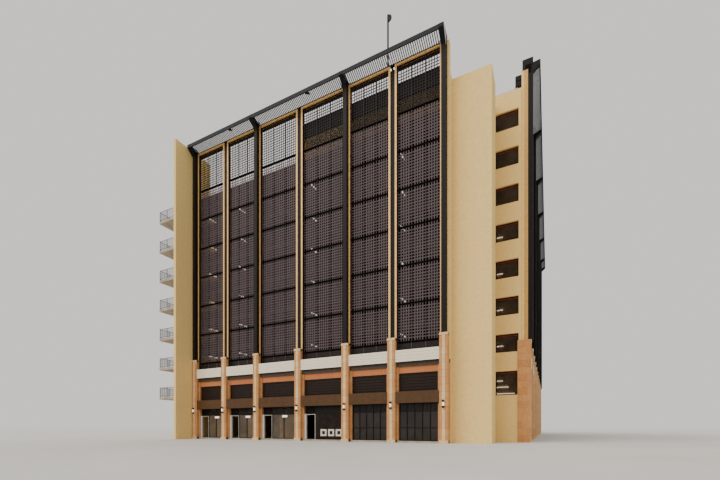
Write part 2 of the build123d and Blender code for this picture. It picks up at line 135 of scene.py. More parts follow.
@dataclass(frozen=True)
class Finish:
    """A surface finish: its colours, its gloss and the size of its grain.

    The sizes are in metres on the model. The real pattern is twice as large.
    """

    name: str
    light: str
    dark: str
    roughness: float = 0.6
    metallic: float = 0.0
    grain: float = 0.02
    relief: float = 0.15
    weather: Weather = Weather.LIGHT
    specular: float = 0.5

    def start(self) -> tuple[bpy.types.Material, Tree, Node]:
        """Make an empty node material.

        Returns:
            The material, its node tree and its shader.
        """
        material = bpy.data.materials.new(self.name)
        material.use_nodes = True
        material.diffuse_color = linear(self.light)
        tree = material.node_tree
        tree.nodes.clear()
        shader = add_node(tree, "ShaderNodeBsdfPrincipled", {
            "Roughness": self.roughness, "Metallic": self.metallic, "Specular IOR Level": self.specular})
        add_node(tree, "ShaderNodeOutputMaterial", {"Surface": shader.outputs["BSDF"]})
        return material, tree, shader

    def noise(self, tree: Tree, size: float, detail: float = 4.0, stretch: Point = (1.0, 1.0, 1.0)) -> Socket:
        """Add a noise on object coordinates.

        Args:
            tree: the node tree.
            size: the size of one grain, in metres.
            detail: how many finer layers are added.
            stretch: how the pattern is squeezed along each axis.

        Returns:
            The noise's value.
        """
        place = add_node(tree, "ShaderNodeTexCoord")
        turned = add_node(tree, "ShaderNodeMapping", {"Vector": place.outputs["Object"], "Scale": stretch})
        noise = add_node(tree, "ShaderNodeTexNoise", {
            "Vector": turned.outputs["Vector"], "Scale": 1.0 / size, "Detail": detail, "Roughness": 0.6})
        return noise.outputs["Fac"]

    def two_tone(self, tree: Tree, value: Socket, low: float = 0.35, high: float = 0.65) -> Socket:
        """Blend the finish's two colours by a value.

        Args:
            tree: the node tree.
            value: what steers the blend.
            low: the value that gives the dark colour.
            high: the value that gives the light colour.

        Returns:
            The blended colour.
        """
        ramp = add_node(tree, "ShaderNodeValToRGB", {"Fac": value})
        for stop, place, colour in zip(ramp.color_ramp.elements, (low, high), (self.dark, self.light)):
            stop.position = place
            stop.color = linear(colour)
        return ramp.outputs["Color"]

    def streaks(self, tree: Tree, colour: Socket) -> Socket:
        """Darken a colour in soft upright runs, as rain does.

        Args:
            tree: the node tree.
            colour: the clean colour.

        Returns:
            The weathered colour.
        """
        width, upright, strongest = 0.35, (1.0, 1.0, 0.12), 0.32
        ramp = add_node(tree, "ShaderNodeMapRange", {
            "Value": self.noise(tree, width, 3.0, upright), "From Min": 0.42, "From Max": 0.75,
            "To Min": 0.0, "To Max": strongest * self.weather.value})
        mix = add_node(tree, "ShaderNodeMix", {
            "Factor": ramp.outputs["Result"], 6: colour, 7: linear(self.dark)},
            data_type="RGBA", blend_type="MULTIPLY")
        return mix.outputs[2]

    def bump(self, tree: Tree, shader: Node, height: Socket, depth: float) -> None:
        """Give the shader a bump.

        Args:
            tree: the node tree.
            shader: the shader.
            height: the height of the surface.
            depth: how deep the bump is, in metres.
        """
        bump = add_node(tree, "ShaderNodeBump", {"Height": height, "Distance": depth, "Strength": 0.6})
        tree.links.new(bump.outputs["Normal"], shader.inputs["Normal"])

    def build(self) -> bpy.types.Material:
        """Make the material: a two tone grain with rain marks and a fine relief.

        Returns:
            The material.
        """
        material, tree, shader = self.start()
        patches = self.noise(tree, self.grain * 14.0, 3.0)
        colour = self.streaks(tree, self.two_tone(tree, patches))
        tree.links.new(colour, shader.inputs["Base Color"])
        self.bump(tree, shader, self.noise(tree, self.grain), self.grain * self.relief)
        return material


@dataclass(frozen=True)
class CoatFinish(Finish):
    """Powder coat or paint on metal, with a fine orange peel."""

    grain: float = 0.006
    relief: float = 0.05
    specular: float = 0.15


@dataclass(frozen=True)
class BoardFinish(Finish):
    """Matt board or cloth that hardly shines."""

    roughness: float = 0.85
    grain: float = 0.01
    specular: float = 0.1


@dataclass(frozen=True)
class StoneFinish(Finish):
    """Sawn sandstone in level courses, with thin joints."""

    roughness: float = 0.8
    grain: float = 0.012
    course: float = 0.3
    stone_length: float = 0.42
    joint: float = 0.004
    mortar: str = "#8F6A48"

    def build(self) -> bpy.types.Material:
        """Make the material: each stone has its own tone, between thin brown joints.

        Returns:
            The material.
        """
        material, tree, shader = self.start()
        place = add_node(tree, "ShaderNodeTexCoord")
        # The pattern runs along both facades, because it reads X plus Y as its length
        split = add_node(tree, "ShaderNodeSeparateXYZ", {0: place.outputs["Object"]})
        along = add_node(tree, "ShaderNodeMath", {0: split.outputs["X"], 1: split.outputs["Y"]},
                         operation="ADD")
        flat = add_node(tree, "ShaderNodeCombineXYZ", {"X": along.outputs[0], "Y": split.outputs["Z"]})
        bricks = add_node(tree, "ShaderNodeTexBrick", {
            "Vector": flat.outputs[0], "Color1": linear(self.light), "Color2": linear(self.dark),
            "Mortar": linear(self.mortar), "Scale": 1.0, "Mortar Size": self.joint, "Mortar Smooth": 0.3,
            "Brick Width": self.stone_length, "Row Height": self.course, "Bias": -0.2})
        fine = self.noise(tree, self.grain, 6.0)
        tone = self.two_tone(tree, self.noise(tree, self.grain * 8.0, 5.0), 0.3, 0.7)
        mixed = add_node(tree, "ShaderNodeMix", {"Factor": 0.45, 6: bricks.outputs["Color"], 7: tone},
                         data_type="RGBA")
        tree.links.new(self.streaks(tree, mixed.outputs[2]), shader.inputs["Base Color"])
        height = add_node(tree, "ShaderNodeMath", {0: bricks.outputs["Fac"], 1: fine}, operation="SUBTRACT")
        self.bump(tree, shader, height.outputs[0], -self.grain * self.relief)
        return material


@dataclass(frozen=True)
class GlassFinish(Finish):
    """Tinted float glass: it mirrors the sky and lets some light through."""

    clear: float = 0.25
    ior: float = 1.52

    def build(self) -> bpy.types.Material:
        """Make the material: a faint waviness, as in large panes, over a dark tint.

        Returns:
            The material.
        """
        material, tree, shader = self.start()
        waves = self.noise(tree, 0.6, 1.0)
        tree.links.new(self.two_tone(tree, waves), shader.inputs["Base Color"])
        shader.inputs["Transmission Weight"].default_value = self.clear
        shader.inputs["IOR"].default_value = self.ior
        self.bump(tree, shader, waves, 0.002)
        return material


@dataclass(frozen=True)
class LampFinish(Finish):
    """Opal acrylic that glows softly."""

    roughness: float = 0.4
    glow: float = 0.9

    def build(self) -> bpy.types.Material:
        """Make the material: an even glow with a slightly mottled surface.

        Returns:
            The material.
        """
        material, tree, shader = self.start()
        spots = self.two_tone(tree, self.noise(tree, self.grain))
        tree.links.new(spots, shader.inputs["Base Color"])
        tree.links.new(spots, shader.inputs["Emission Color"])
        shader.inputs["Emission Strength"].default_value = self.glow
        return material


@dataclass(frozen=True)
class RibbedFinish(Finish):
    """Coated sheet rolled with fine level ribs."""

    rib: float = 0.025
    rib_depth: float = 0.006

    def build(self) -> bpy.types.Material:
        """Make the material: level ribs, each with a shaded foot.

        Returns:
            The material.
        """
        material, tree, shader = self.start()
        place = add_node(tree, "ShaderNodeTexCoord")
        # At a scale of 0.314 the wave repeats once in a metre
        wave = add_node(tree, "ShaderNodeTexWave", {
            "Vector": place.outputs["Object"], "Scale": 0.314 / self.rib, "Distortion": 0.0},
            wave_type="BANDS", bands_direction="Z", wave_profile="SIN")
        ribs = self.two_tone(tree, wave.outputs["Fac"], 0.1, 0.5)
        tree.links.new(self.streaks(tree, ribs), shader.inputs["Base Color"])
        self.bump(tree, shader, wave.outputs["Fac"], self.rib_depth)
        return material


# The finishes, each with what it gives the eye


# Mineral render floated on masonry: matt, almost one tone, with a sand grain of a few millimetres
RENDER = Finish("cream_mineral_render", "#F1D189", "#EAC77F", 0.92, 0.0, 0.008, 0.08, Weather.CLEAN, 0.3)
# Fair faced concrete: cloudy grey, matt
CONCRETE = Finish("fair_faced_concrete", "#B3A995", "#978C7A", 0.85)
# Concrete of the decks, darkened as painted shade, which keeps the inside dark behind the screens
SHADED_DECK_CONCRETE = Finish("deck_concrete_painted_shade", "#3A322D", "#2B2421", 0.8, weather=Weather.STREAKED)
# Near black on the parapets as painted shade, so that the holes of the screens stay near black
PARAPET_SHADE = Finish("parapet_painted_shade", "#2A2321", "#221C1A", 0.85, specular=0.1)
# Dark lining of the closed shop panel, a shade lighter than its frame
DARK_LINING = Finish("dark_shop_lining", "#2B2421", "#1E1917", 0.8, specular=0.1)
# Sawn sandstone in courses of 0.6 m, cool and warm stones mixed
SANDSTONE = StoneFinish("sawn_sandstone", "#D09A62", "#B67840")
# Pale sandstone of the caps, plinths and centre strips
PALE_STONE = StoneFinish("pale_sandstone", "#EACB9C", "#D3A974")
# Orange sandstone lintels in long stones
LINTEL = StoneFinish("orange_sandstone", "#C47A46", "#A9633A", stone_length=1.1, course=0.6)
# Gold powder coat on aluminium: satin, with a fine orange peel
GOLD = CoatFinish("gold_powder_coat", "#E6BC78", "#D2A259", 0.4, 0.1, specular=0.5)
# Gold coat of the corner casing, darkened to gold brown as painted shade, as the sun falls full on it
SHADED_CASING_GOLD = CoatFinish("gold_coat_painted_shade", "#CA9C4A", "#BA8B3C", 0.45, 0.1, specular=0.5)
# Dark bronze powder coat: near black, it takes a soft shine
BRONZE = CoatFinish("dark_bronze_powder_coat", "#1A1515", "#120F0F", 0.55)
# Brown grey powder coat of the lattice
SCREEN = CoatFinish("brown_grey_powder_coat", "#5C4F51", "#4C4143", specular=0.2)
# Darker coat of the closed screen panels, so that their joints stand back
PANEL = CoatFinish("umber_powder_coat", "#2A2221", "#201A19")
# Middle brown coat of the screen edges, hardly seen against the lattice
MULLION = CoatFinish("brown_powder_coat", "#554849", "#463B3C")
# Dark red brown on the inner faces of the frames: painted shade in the reveal beside the gold line
REVEAL_SHADE = CoatFinish("reveal_painted_shade", "#2C1A12", "#22140E")
# Black strips in the joints between the screens: painted shadow of the open joints
JOINT_SHADOW_BLACK = Finish("joint_painted_shadow", "#0C0908", "#080606", 0.9, grain=0.01, specular=0.02)
# Tan board under the front of the roof block: painted light near its open end, where it is lit, and a browner
# copy beyond as painted shade
LIT_SOFFIT = BoardFinish("tan_soffit_board", "#FAE6C2", "#F0D8AC")
SHADED_SOFFIT = BoardFinish("brown_soffit_board", "#C2AC8A", "#B09A78")
# Beige board behind the shop windows
SHOP_BOARD = BoardFinish("beige_display_board", "#A8977C", "#94836A")
# Brown blind behind the smoked glass, which closes the view into the core
BLIND = BoardFinish("brown_blind_cloth", "#D2BCA2", "#BCA58A", 0.9)
# Oxide red rail at the head of each core window
RED_RAIL = Finish("oxide_red_coat", "#7A3423", "#66291B", grain=0.01, specular=0.2)
# Pale ribbed sheet of the parapet
PALE_SHEET = RibbedFinish("pale_ribbed_sheet", "#FAEFDA", "#DCD0B8", 0.5)
# Brown sheet metal fascia, brushed by the wind into faint runs
FASCIA = CoatFinish("brown_coated_sheet", "#543A20", "#4C331C", 0.45, grain=0.01, specular=0.2)
# Dark brown sheet of the vent panels over the fascia
VENT = CoatFinish("dark_brown_vent_sheet", "#2C2019", "#231914", 0.55, grain=0.01)
# Dark brown edge trim over the lintels
EDGE_TRIM = CoatFinish("dark_brown_edge_trim", "#4A3C30", "#3F3328", 0.55, grain=0.01, specular=0.3)
# White coated door frames
WHITE_FRAME = CoatFinish("white_coated_frame", "#D9D3C6", "#C6BFB1", 0.45, grain=0.008, specular=0.5)
# Grey canopy slats
CANOPY = CoatFinish("grey_coated_slats", "#75787A", "#66696B", 0.5, grain=0.008, specular=0.3)
# Lighter grey plate on the ends of the canopies
END_PLATE = CoatFinish("pale_grey_coated_plate", "#A6A6A8", "#97979A", 0.5, grain=0.008, specular=0.5)
# Graphite edge beams of the canopies, bluer than the bronze columns
CANOPY_BEAM = CoatFinish("graphite_powder_coat", "#1B2125", "#14191C", grain=0.008, specular=0.2)
# Dark painted steel of the balcony rails
RAIL_STEEL = CoatFinish("dark_painted_steel", "#3F3B38", "#2F2C2A", 0.5, 0.4, grain=0.008, specular=0.5)
# Dark tinted glass of the flank, the sides and the glazed shop fronts: near black, with a faint mirror
DARK_GLASS = GlassFinish("dark_tinted_glass", "#352B23", "#241C17", 0.06, clear=0.3, specular=0.3)
# Smoked glass that lets the lamps behind it be seen
CLEAR_GLASS = GlassFinish("smoked_window_glass", "#8C8278", "#7E746A", 0.02, clear=0.9, specular=0.05,
                          ior=1.04)
# Clearer glass of the shops, through which their back boards show
SHOP_GLASS = GlassFinish("shop_window_glass", "#C4B6A2", "#B0A18C", 0.03, clear=0.85, specular=0.3, ior=1.15)
# Opal lamps with a soft glow, and tubes that stay bright behind the smoked glass
LAMP = LampFinish("opal_acrylic", "#FFF8EA", "#F1E6D0")
TUBE = LampFinish("lit_tube_diffuser", "#FFFBF2", "#F4ECDD", glow=5.0)
# Pale even floor of the stage
FLOOR = Finish("pale_floor", "#D9D7D2", "#D2D0CB", 0.9, grain=0.3, relief=0.0, weather=Weather.CLEAN)

# Each layer of the screens and its finish
SCREEN_LAYERS = {"lattice": SCREEN, "fine_lattice": BRONZE, "screen_panels": PANEL, "shadow_joints": JOINT_SHADOW_BLACK,
                 "frame_shade_linings": REVEAL_SHADE}

# Each finish of the solid parts and the parts that have it
SOLID_FINISHES = {
    SHADED_DECK_CONCRETE: ("mezzanine_deck", "first_deck", "upper_decks", "roof_deck", "inner_columns"),
    PARAPET_SHADE: ("street_upstands", "back_upstands"),
    CONCRETE: ("ground_slab", "balcony_slabs"),
    RENDER: ("core_stepped_wall", "core_edge_pier", "core_window_wall", "left_flank_wall", "front_fin",
             "roof_block_walls", "roof_block_roof"),
    SANDSTONE: ("stone_jambs",),
    LINTEL: ("stone_lintels",),
    GOLD: ("frame_uprights", "frame_heads"),
    BRONZE: ("front_posts", "right_posts", "back_posts", "dark_columns", "roof_box"),
    VENT: ("louvres",),
    MULLION: ("screen_mullions",),
    PALE_SHEET: ("parapet_bands",),
    FASCIA: ("fascia_boxes",),
    WHITE_FRAME: ("core_handrail",),
    CANOPY_BEAM: ("roof_mast",),
}


@cache
def material_of(finish: Finish) -> bpy.types.Material:
    """Return a finish's material, made once."""
    return finish.build()


# Modelling helpers


def activate(obj: Part) -> Part:
    """Select one object alone and make it the active one.

    Args:
        obj: the object.

    Returns:
        The same object.
    """
    bpy.ops.object.select_all(action="DESELECT")
    obj.select_set(True)
    bpy.context.view_layer.objects.active = obj
    return obj


def apply_place(obj: Part) -> Part:
    """Move an object's place, turn and size into its mesh.

    Args:
        obj: the object.

    Returns:
        The same object.
    """
    activate(obj)
    bpy.ops.object.transform_apply(location=True, rotation=True, scale=True)
    return obj


def edit(obj: Part, operator: Callable, **settings: object) -> Part:
    """Run a mesh operator on the whole of an object in edit mode.

    Args:
        obj: the object.
        operator: one of Blender's mesh operators.
        settings: what the operator is told.

    Returns:
        The same object.
    """
    activate(obj)
    bpy.ops.object.mode_set(mode="EDIT")
    bpy.ops.mesh.select_all(action="SELECT")
    operator(**settings)
    bpy.ops.object.mode_set(mode="OBJECT")
    return obj


def edit_chosen(obj: Part, kind: str, chosen: Callable, *steps: Callable) -> Part:
    """Run steps on those faces or edges of an object that pass a test.

    Args:
        obj: the object.
        kind: FACE or EDGE.
        chosen: the test, given one face or edge.
        steps: what is done in edit mode, one after the other.

    Returns:
        The same object.
    """
    activate(obj)
    bpy.ops.object.mode_set(mode="EDIT")
    bpy.ops.mesh.select_mode(type=kind)
    bpy.ops.mesh.select_all(action="DESELECT")
    bpy.ops.object.mode_set(mode="OBJECT")
    for item in obj.data.polygons if kind == "FACE" else obj.data.edges:
        item.select = chosen(item)
    bpy.ops.object.mode_set(mode="EDIT")
    for step in steps:
        step()
    bpy.ops.object.mode_set(mode="OBJECT")
    return obj


def bevelled(obj: Part, width: float, segments: int = 1) -> Part:
    """Bevel all edges of an object and return it."""
    return edit(obj, bpy.ops.mesh.bevel, offset=width, segments=segments, affect="EDGES")


def bisected(obj: Part, point: Point, normal: Point, keep_front: bool = False) -> Part:
    """Cut an object by a plane and close the cut.

    Args:
        obj: the object.
        point: a point of the plane.
        normal: the plane's normal.
        keep_front: whether the half on the normal's side is kept, and not the other one.

    Returns:
        The same object.
    """
    return edit(obj, bpy.ops.mesh.bisect, plane_co=point, plane_no=normal, use_fill=True,
                clear_inner=keep_front, clear_outer=not keep_front)


def bar(name: str, low: Point, high: Point, bevel: float = 0.0) -> Part:
    """Make a bar between two corners, with its edges bevelled in edit mode.

    Args:
        name: the object's name.
        low: its lowest corner.
        high: its highest corner.
        bevel: the width of the bevel, or 0 for sharp edges.

    Returns:
        The bar, with its place in its mesh.
    """
    bpy.ops.object.select_all(action="DESELECT")
    centre = [(a + b) / 2 for a, b in zip(low, high)]
    bpy.ops.mesh.primitive_cube_add(size=1.0, location=centre)
    obj = bpy.context.object
    obj.name = name
    obj.scale = [abs(b - a) for a, b in zip(low, high)]
    apply_place(obj)
    return bevelled(obj, bevel) if bevel else obj


def cylinder(radius: float, length: float, centre: Point, vertices: int = 20,
             turn: Point = (0.0, 0.0, 0.0)) -> Part:
    """Make a cylinder, which is upright unless it is turned.

    Args:
        radius: its radius.
        length: its length.
        centre: its middle.
        vertices: how many sides it has.
        turn: its turn about each axis, in degrees.

    Returns:
        The cylinder, with its place in its mesh.
    """
    bpy.ops.object.select_all(action="DESELECT")
    bpy.ops.mesh.primitive_cylinder_add(vertices=vertices, radius=radius, depth=length, location=centre,
                                        rotation=[math.radians(angle) for angle in turn])
    return apply_place(bpy.context.object)


def pierce(obj: Part, axis: int, rim: float) -> Part:
    """Cut a rectangular way through a plate, which leaves a frame.

    Args:
        obj: the plate, with sharp edges.
        axis: the axis that the way runs along.
        rim: the width of the frame that is left.

    Returns:
        The same object.
    """
    return edit_chosen(obj, "FACE", lambda face: abs(face.normal[axis]) > 0.9,
                       lambda: bpy.ops.mesh.inset(thickness=rim, depth=0.0), bpy.ops.mesh.bridge_edge_loops)


def modify(obj: Part, kind: str, **settings: object) -> Part:
    """Add a modifier to an object and apply it.

    Args:
        obj: the object.
        kind: the modifier's type name.
        settings: attributes of the modifier.

    Returns:
        The same object.
    """
    modifier = activate(obj).modifiers.new(kind.lower(), kind)
    for key, value in settings.items():
        setattr(modifier, key, value)
    bpy.ops.object.modifier_apply(modifier=modifier.name)
    return obj


def repeat(obj: Part, count: int, step: Point) -> Part:
    """Repeat an object along a step.

    Args:
        obj: what is repeated.
        count: how many there are in all.
        step: the step from one to the next, in metres.

    Returns:
        The same object, with all copies in its mesh.
    """
    if count > 1:
        modify(obj, "ARRAY", count=count, use_relative_offset=False, use_constant_offset=True,
               constant_offset_displace=step)
    return obj


def join(name: str, objects: list[Part]) -> Part:
    """Join objects into one.

    Args:
        name: the name of the result.
        objects: what is joined.

    Returns:
        The joined object.
    """
    first = activate(objects[0])
    for obj in objects[1:]:
        obj.select_set(True)
    if len(objects) > 1:
        bpy.ops.object.join()
    first.name = name
    first.data.name = name
    return first


def copy_of(obj: Part, matrix: Matrix) -> Part:
    """Copy an object with a mesh of its own and set it in place.

    Args:
        obj: what is copied.
        matrix: where the copy goes.

    Returns:
        The copy, with its place in its mesh.
    """
    twin = obj.copy()
    twin.data = obj.data.copy()
    bpy.context.collection.objects.link(twin)
    twin.data.transform(matrix)
    return twin


def mirrored(obj: Part, length: float) -> Part:
    """Copy an object, mirrored, to the right end of a length, with its normals outward again."""
    twin = copy_of(obj, Matrix.Translation((length, 0.0, 0.0)) @ Matrix.Scale(-1.0, 4, (1, 0, 0)))
    return edit(twin, bpy.ops.mesh.normals_make_consistent, inside=False)


def discard(*models: Part) -> None:
    """Remove models that were only copied."""
    for model in models:
        bpy.data.objects.remove(model)


def piece(name: str, parts: list[Part], finish: Finish, stands_for: str = "") -> None:
    """Join parts into a piece with its finish, and let it ride on the building.

    Args:
        name: the piece's name.
        parts: what it is joined from.
        finish: its finish.
        stands_for: the solid part that it takes the place of, or nothing.
    """
    obj = join(name, parts)
    obj.data.materials.clear()
    obj.data.materials.append(material_of(finish))
    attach(obj, BODY)
    if stands_for:
        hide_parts(stands_for)
    log.info("piece %s: %d faces", obj.name, len(obj.data.polygons))


# The building's grid, as in the solid model


@dataclass(frozen=True)
class Grid:
    """The sizes that the pieces share, in metres on the model."""

    side_bay: float = 2.28
    centre_bay: float = 2.65
    flank_bay: float = 2.153
    flank_bays: int = 11
    back_bays: int = 8
    storey: float = 1.66
    half_pilaster: float = 0.19
    pilaster_top: float = 4.5
    column_half: float = 0.1
    frame_front: float = 0.175
    frame_back: float = 0.375
    frame_half_gap: float = 0.105
    frame_width: float = 0.085
    frame_top: float = 16.4
    joint_first: float = 4.33
    rows: int = 7
    border: float = 0.055
    mullion: float = 0.045
    panes: int = 3
    screen_front: float = 0.31
    panel_bottom: float = 3.95
    head_panel: float = 0.17


@dataclass(frozen=True)
class Facade:
    """One side of the building: its lines, its dark lines and its place in plan."""

    name: str
    lines: tuple[float, ...]
    dark: tuple[int, ...]
    origin: Span
    turn: float

    def matrix(self, along: float = 0.0) -> Matrix:
        """Return the move from the street front's own frame to this side, from a place along it."""
        turned = Matrix.Rotation(math.radians(self.turn), 4, "Z") @ Matrix.Translation((along, 0.0, 0.0))
        return Matrix.Translation((*self.origin, 0.0)) @ turned

    def bays(self) -> list[Span]:
        """Return the two lines of each bay."""
        return list(zip(self.lines[:-1], self.lines[1:]))

    def copies(self, model: Part) -> list[Part]:
        """Copy a model to every line of this side."""
        return [copy_of(model, self.matrix(line)) for line in self.lines]


def make_facades(grid: Grid) -> list[Facade]:
    """Work out the three sides from the frame.

    Args:
        grid: the shared sizes.

    Returns:
        The front, the right side and the back.
    """
    c, s = grid.centre_bay, grid.side_bay
    front = (-c - 2 * s, -c - s, -c, 0.0, c, c + s, c + 2 * s)
    right_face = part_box("stone_jambs")[1][0] + grid.frame_front
    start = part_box("core_window_wall")[0][1] + grid.half_pilaster
    right = tuple(grid.flank_bay * i for i in range(grid.flank_bays + 1))
    back_face = start + right[-1] + grid.half_pilaster
    back_start = right_face - grid.frame_front - grid.half_pilaster
    pitch = (back_start - front[0]) / grid.back_bays
    back = tuple(pitch * i for i in range(grid.back_bays + 1))
    right_dark = tuple(range(0, grid.flank_bays, 2)) + (grid.flank_bays,)
    return [Facade("front", front, (0, 2, 4, 6), (0.0, 0.0), 0.0),
            Facade("right", right, right_dark, (right_face, start), 90.0),
            Facade("back", back, tuple(range(0, grid.back_bays + 1, 2)), (back_start, back_face), 180.0)]


@dataclass
class Screens:
    """The screens of the upper storeys: a fine lattice in rows, with shadow joints between them.

    The top row is a finer and darker lattice than the rows below it.
    """

    grid: Grid
    facades: list[Facade]
    mesh: float = 0.125
    wire: float = 0.05
    fine_wire: float = 0.034
    depth: float = 0.012
    lattice_back: float = 0.014
    sheet_back: float = 0.015
    sheet: float = 0.015
    joint: float = 0.075
    joint_proud: float = 0.006
    joint_depth: float = 0.01
    edge: float = 0.055
    sill_half: float = 0.075
    lining: float = 0.004
    gold_soffit: float = 0.065

    def lattice(self, width: float, low: float, high: float, rows: int, wire: float) -> Part:
        """Model the lattice of one bay, whose left edge is at X 0.

        Args:
            width: the clear width between the frames.
            low: the foot of the lowest row.
            high: the head of the lowest row.
            rows: how many rows stand one above the other.
            wire: the width of a bar.

        Returns:
            The lattice, over all rows.
        """
        g = self.grid
        pitch = (width - g.mullion) / g.panes
        pane = pitch - g.mullion
        across, up = round(pane / self.mesh), round((high - low) / self.mesh)
        step, rise = pane / across, (high - low) / up
        y0 = g.screen_front + self.lattice_back
        x = g.mullion + step - wire / 2
        upright = bar("upright", (x, y0, low), (x + wire, y0 + self.depth, high + (rows - 1) * g.storey))
        repeat(upright, across - 1, (step, 0.0, 0.0))
        repeat(upright, g.panes, (pitch, 0.0, 0.0))
        y1, z = y0 + self.depth / 2, low + rise - wire / 2
        level = bar("level", (0.0, y1, z), (width, y1 + self.depth, z + wire))
        repeat(level, up - 1, (0.0, 0.0, rise))
        repeat(level, rows, (0.0, 0.0, g.storey))
        parts = [upright, level]
        if rows > 1:
            # Thin paler lines on the closed low panel carry on the edges of the panes above it
            line = bar("line", (pitch + g.mullion * 0.2, g.screen_front - 0.004, g.panel_bottom),
                       (pitch + g.mullion * 0.65, y0, g.joint_first - g.border))
            parts.append(repeat(line, g.panes - 1, (pitch, 0.0, 0.0)))
        return join("lattice", parts)

    def joints(self, width: float) -> Part:
        """Model the dark shadow joints of one bay: black strips that paint the shadow in the joints.

        Args:
            width: the clear width between the frames.

        Returns:
            The joints at the foot of every row.
        """
        g, half = self.grid, self.joint / 2
        y = g.screen_front - self.joint_proud
        strip = bar("joint", (0.0, y, g.joint_first - half),
                    (width, y + self.joint_depth, g.joint_first + half), 0.001)
        return repeat(strip, g.rows, (0.0, 0.0, g.storey))

    def panels(self, width: float) -> Part:
        """Model the closed sheets of one bay's screens.

        Args:
            width: the clear width between the frames.

        Returns:
            The borders of the rows, the low panel, the head panel and the stiles of the top row.
        """
        g = self.grid
        y0, y1 = g.screen_front + self.sheet_back, g.screen_front + self.sheet_back + self.sheet
        second, last = g.joint_first + g.storey, g.joint_first + (g.rows - 1) * g.storey
        top = g.frame_top - g.frame_width
        border = bar("border", (0.0, y0, second - g.border), (width, y1, second + g.border))
        repeat(border, g.rows - 1, (0.0, 0.0, g.storey))
        sheets = [bar(name, (0.0, y0, low), (width, y1, high)) for name, low, high in (
            ("low", g.panel_bottom, g.joint_first + g.border), ("head", top - g.head_panel, top),
            ("sill", last - self.sill_half, last + self.sill_half))]
        pitch = (width - g.mullion) / g.panes
        x = pitch + (g.mullion - self.edge) / 2
        stile = bar("stile", (x, g.screen_front - self.joint_proud, last),
                    (x + self.edge, y1, top - g.head_panel / 2))
        repeat(stile, g.panes - 1, (pitch, 0.0, 0.0))
        return join("panels", [border, *sheets, stile])

    def reveal(self, width: float) -> Part:
        """Model the dark lining of one bay's frame, in front of its screens: painted shade on the frame's
        inner faces.

        Args:
            width: the clear width between the frames.

        Returns:
            The two sides and the soffit, which leaves the front of the gold one free.
        """
        g, t, top = self.grid, self.lining, self.grid.frame_top - self.grid.frame_width
        sides = bar("side", (0.0, g.frame_front + 0.012, g.panel_bottom), (t, g.screen_front, top - t))
        repeat(sides, 2, (width - t, 0.0, 0.0))
        soffit = bar("soffit", (0.0, g.frame_front + self.gold_soffit, top - t), (width, g.screen_front, top))
        return join("reveal", [sides, soffit])

    def bay(self, width: float) -> dict[str, Part]:
        """Model one bay of screens.

        Args:
            width: the clear width between the frames.

        Returns:
            The name of each layer to its model.
        """
        g = self.grid
        low, lower_rows = g.joint_first + g.border, g.rows - 1
        high, top = low + g.storey - 2 * g.border, g.frame_top - g.frame_width - g.head_panel
        return {"lattice": self.lattice(width, low, high, lower_rows, self.wire),
                "fine_lattice": self.lattice(width, low + lower_rows * g.storey, top, 1, self.fine_wire),
                "screen_panels": self.panels(width),
                "shadow_joints": self.joints(width),
                "frame_shade_linings": self.reveal(width)}

    def build(self) -> None:
        """Make the screens of every bay on every side. Bays of one width share their models."""
        inset = self.grid.frame_half_gap + self.grid.frame_width
        for facade in self.facades:
            models: dict[float, dict[str, Part]] = {}
            groups = defaultdict(list)
            for left, right in facade.bays():
                width = round(right - left - 2 * inset, 4)
                if width not in models:
                    models[width] = self.bay(width)
                for name, model in models[width].items():
                    groups[name].append(copy_of(model, facade.matrix(left + inset)))
            for made in models.values():
                discard(*made.values())
            for name, finish in SCREEN_LAYERS.items():
                stands_for = "screen_rails" if name == "screen_panels" else ""
                piece(f"{facade.name}_{name}", groups[name], finish, stands_for)


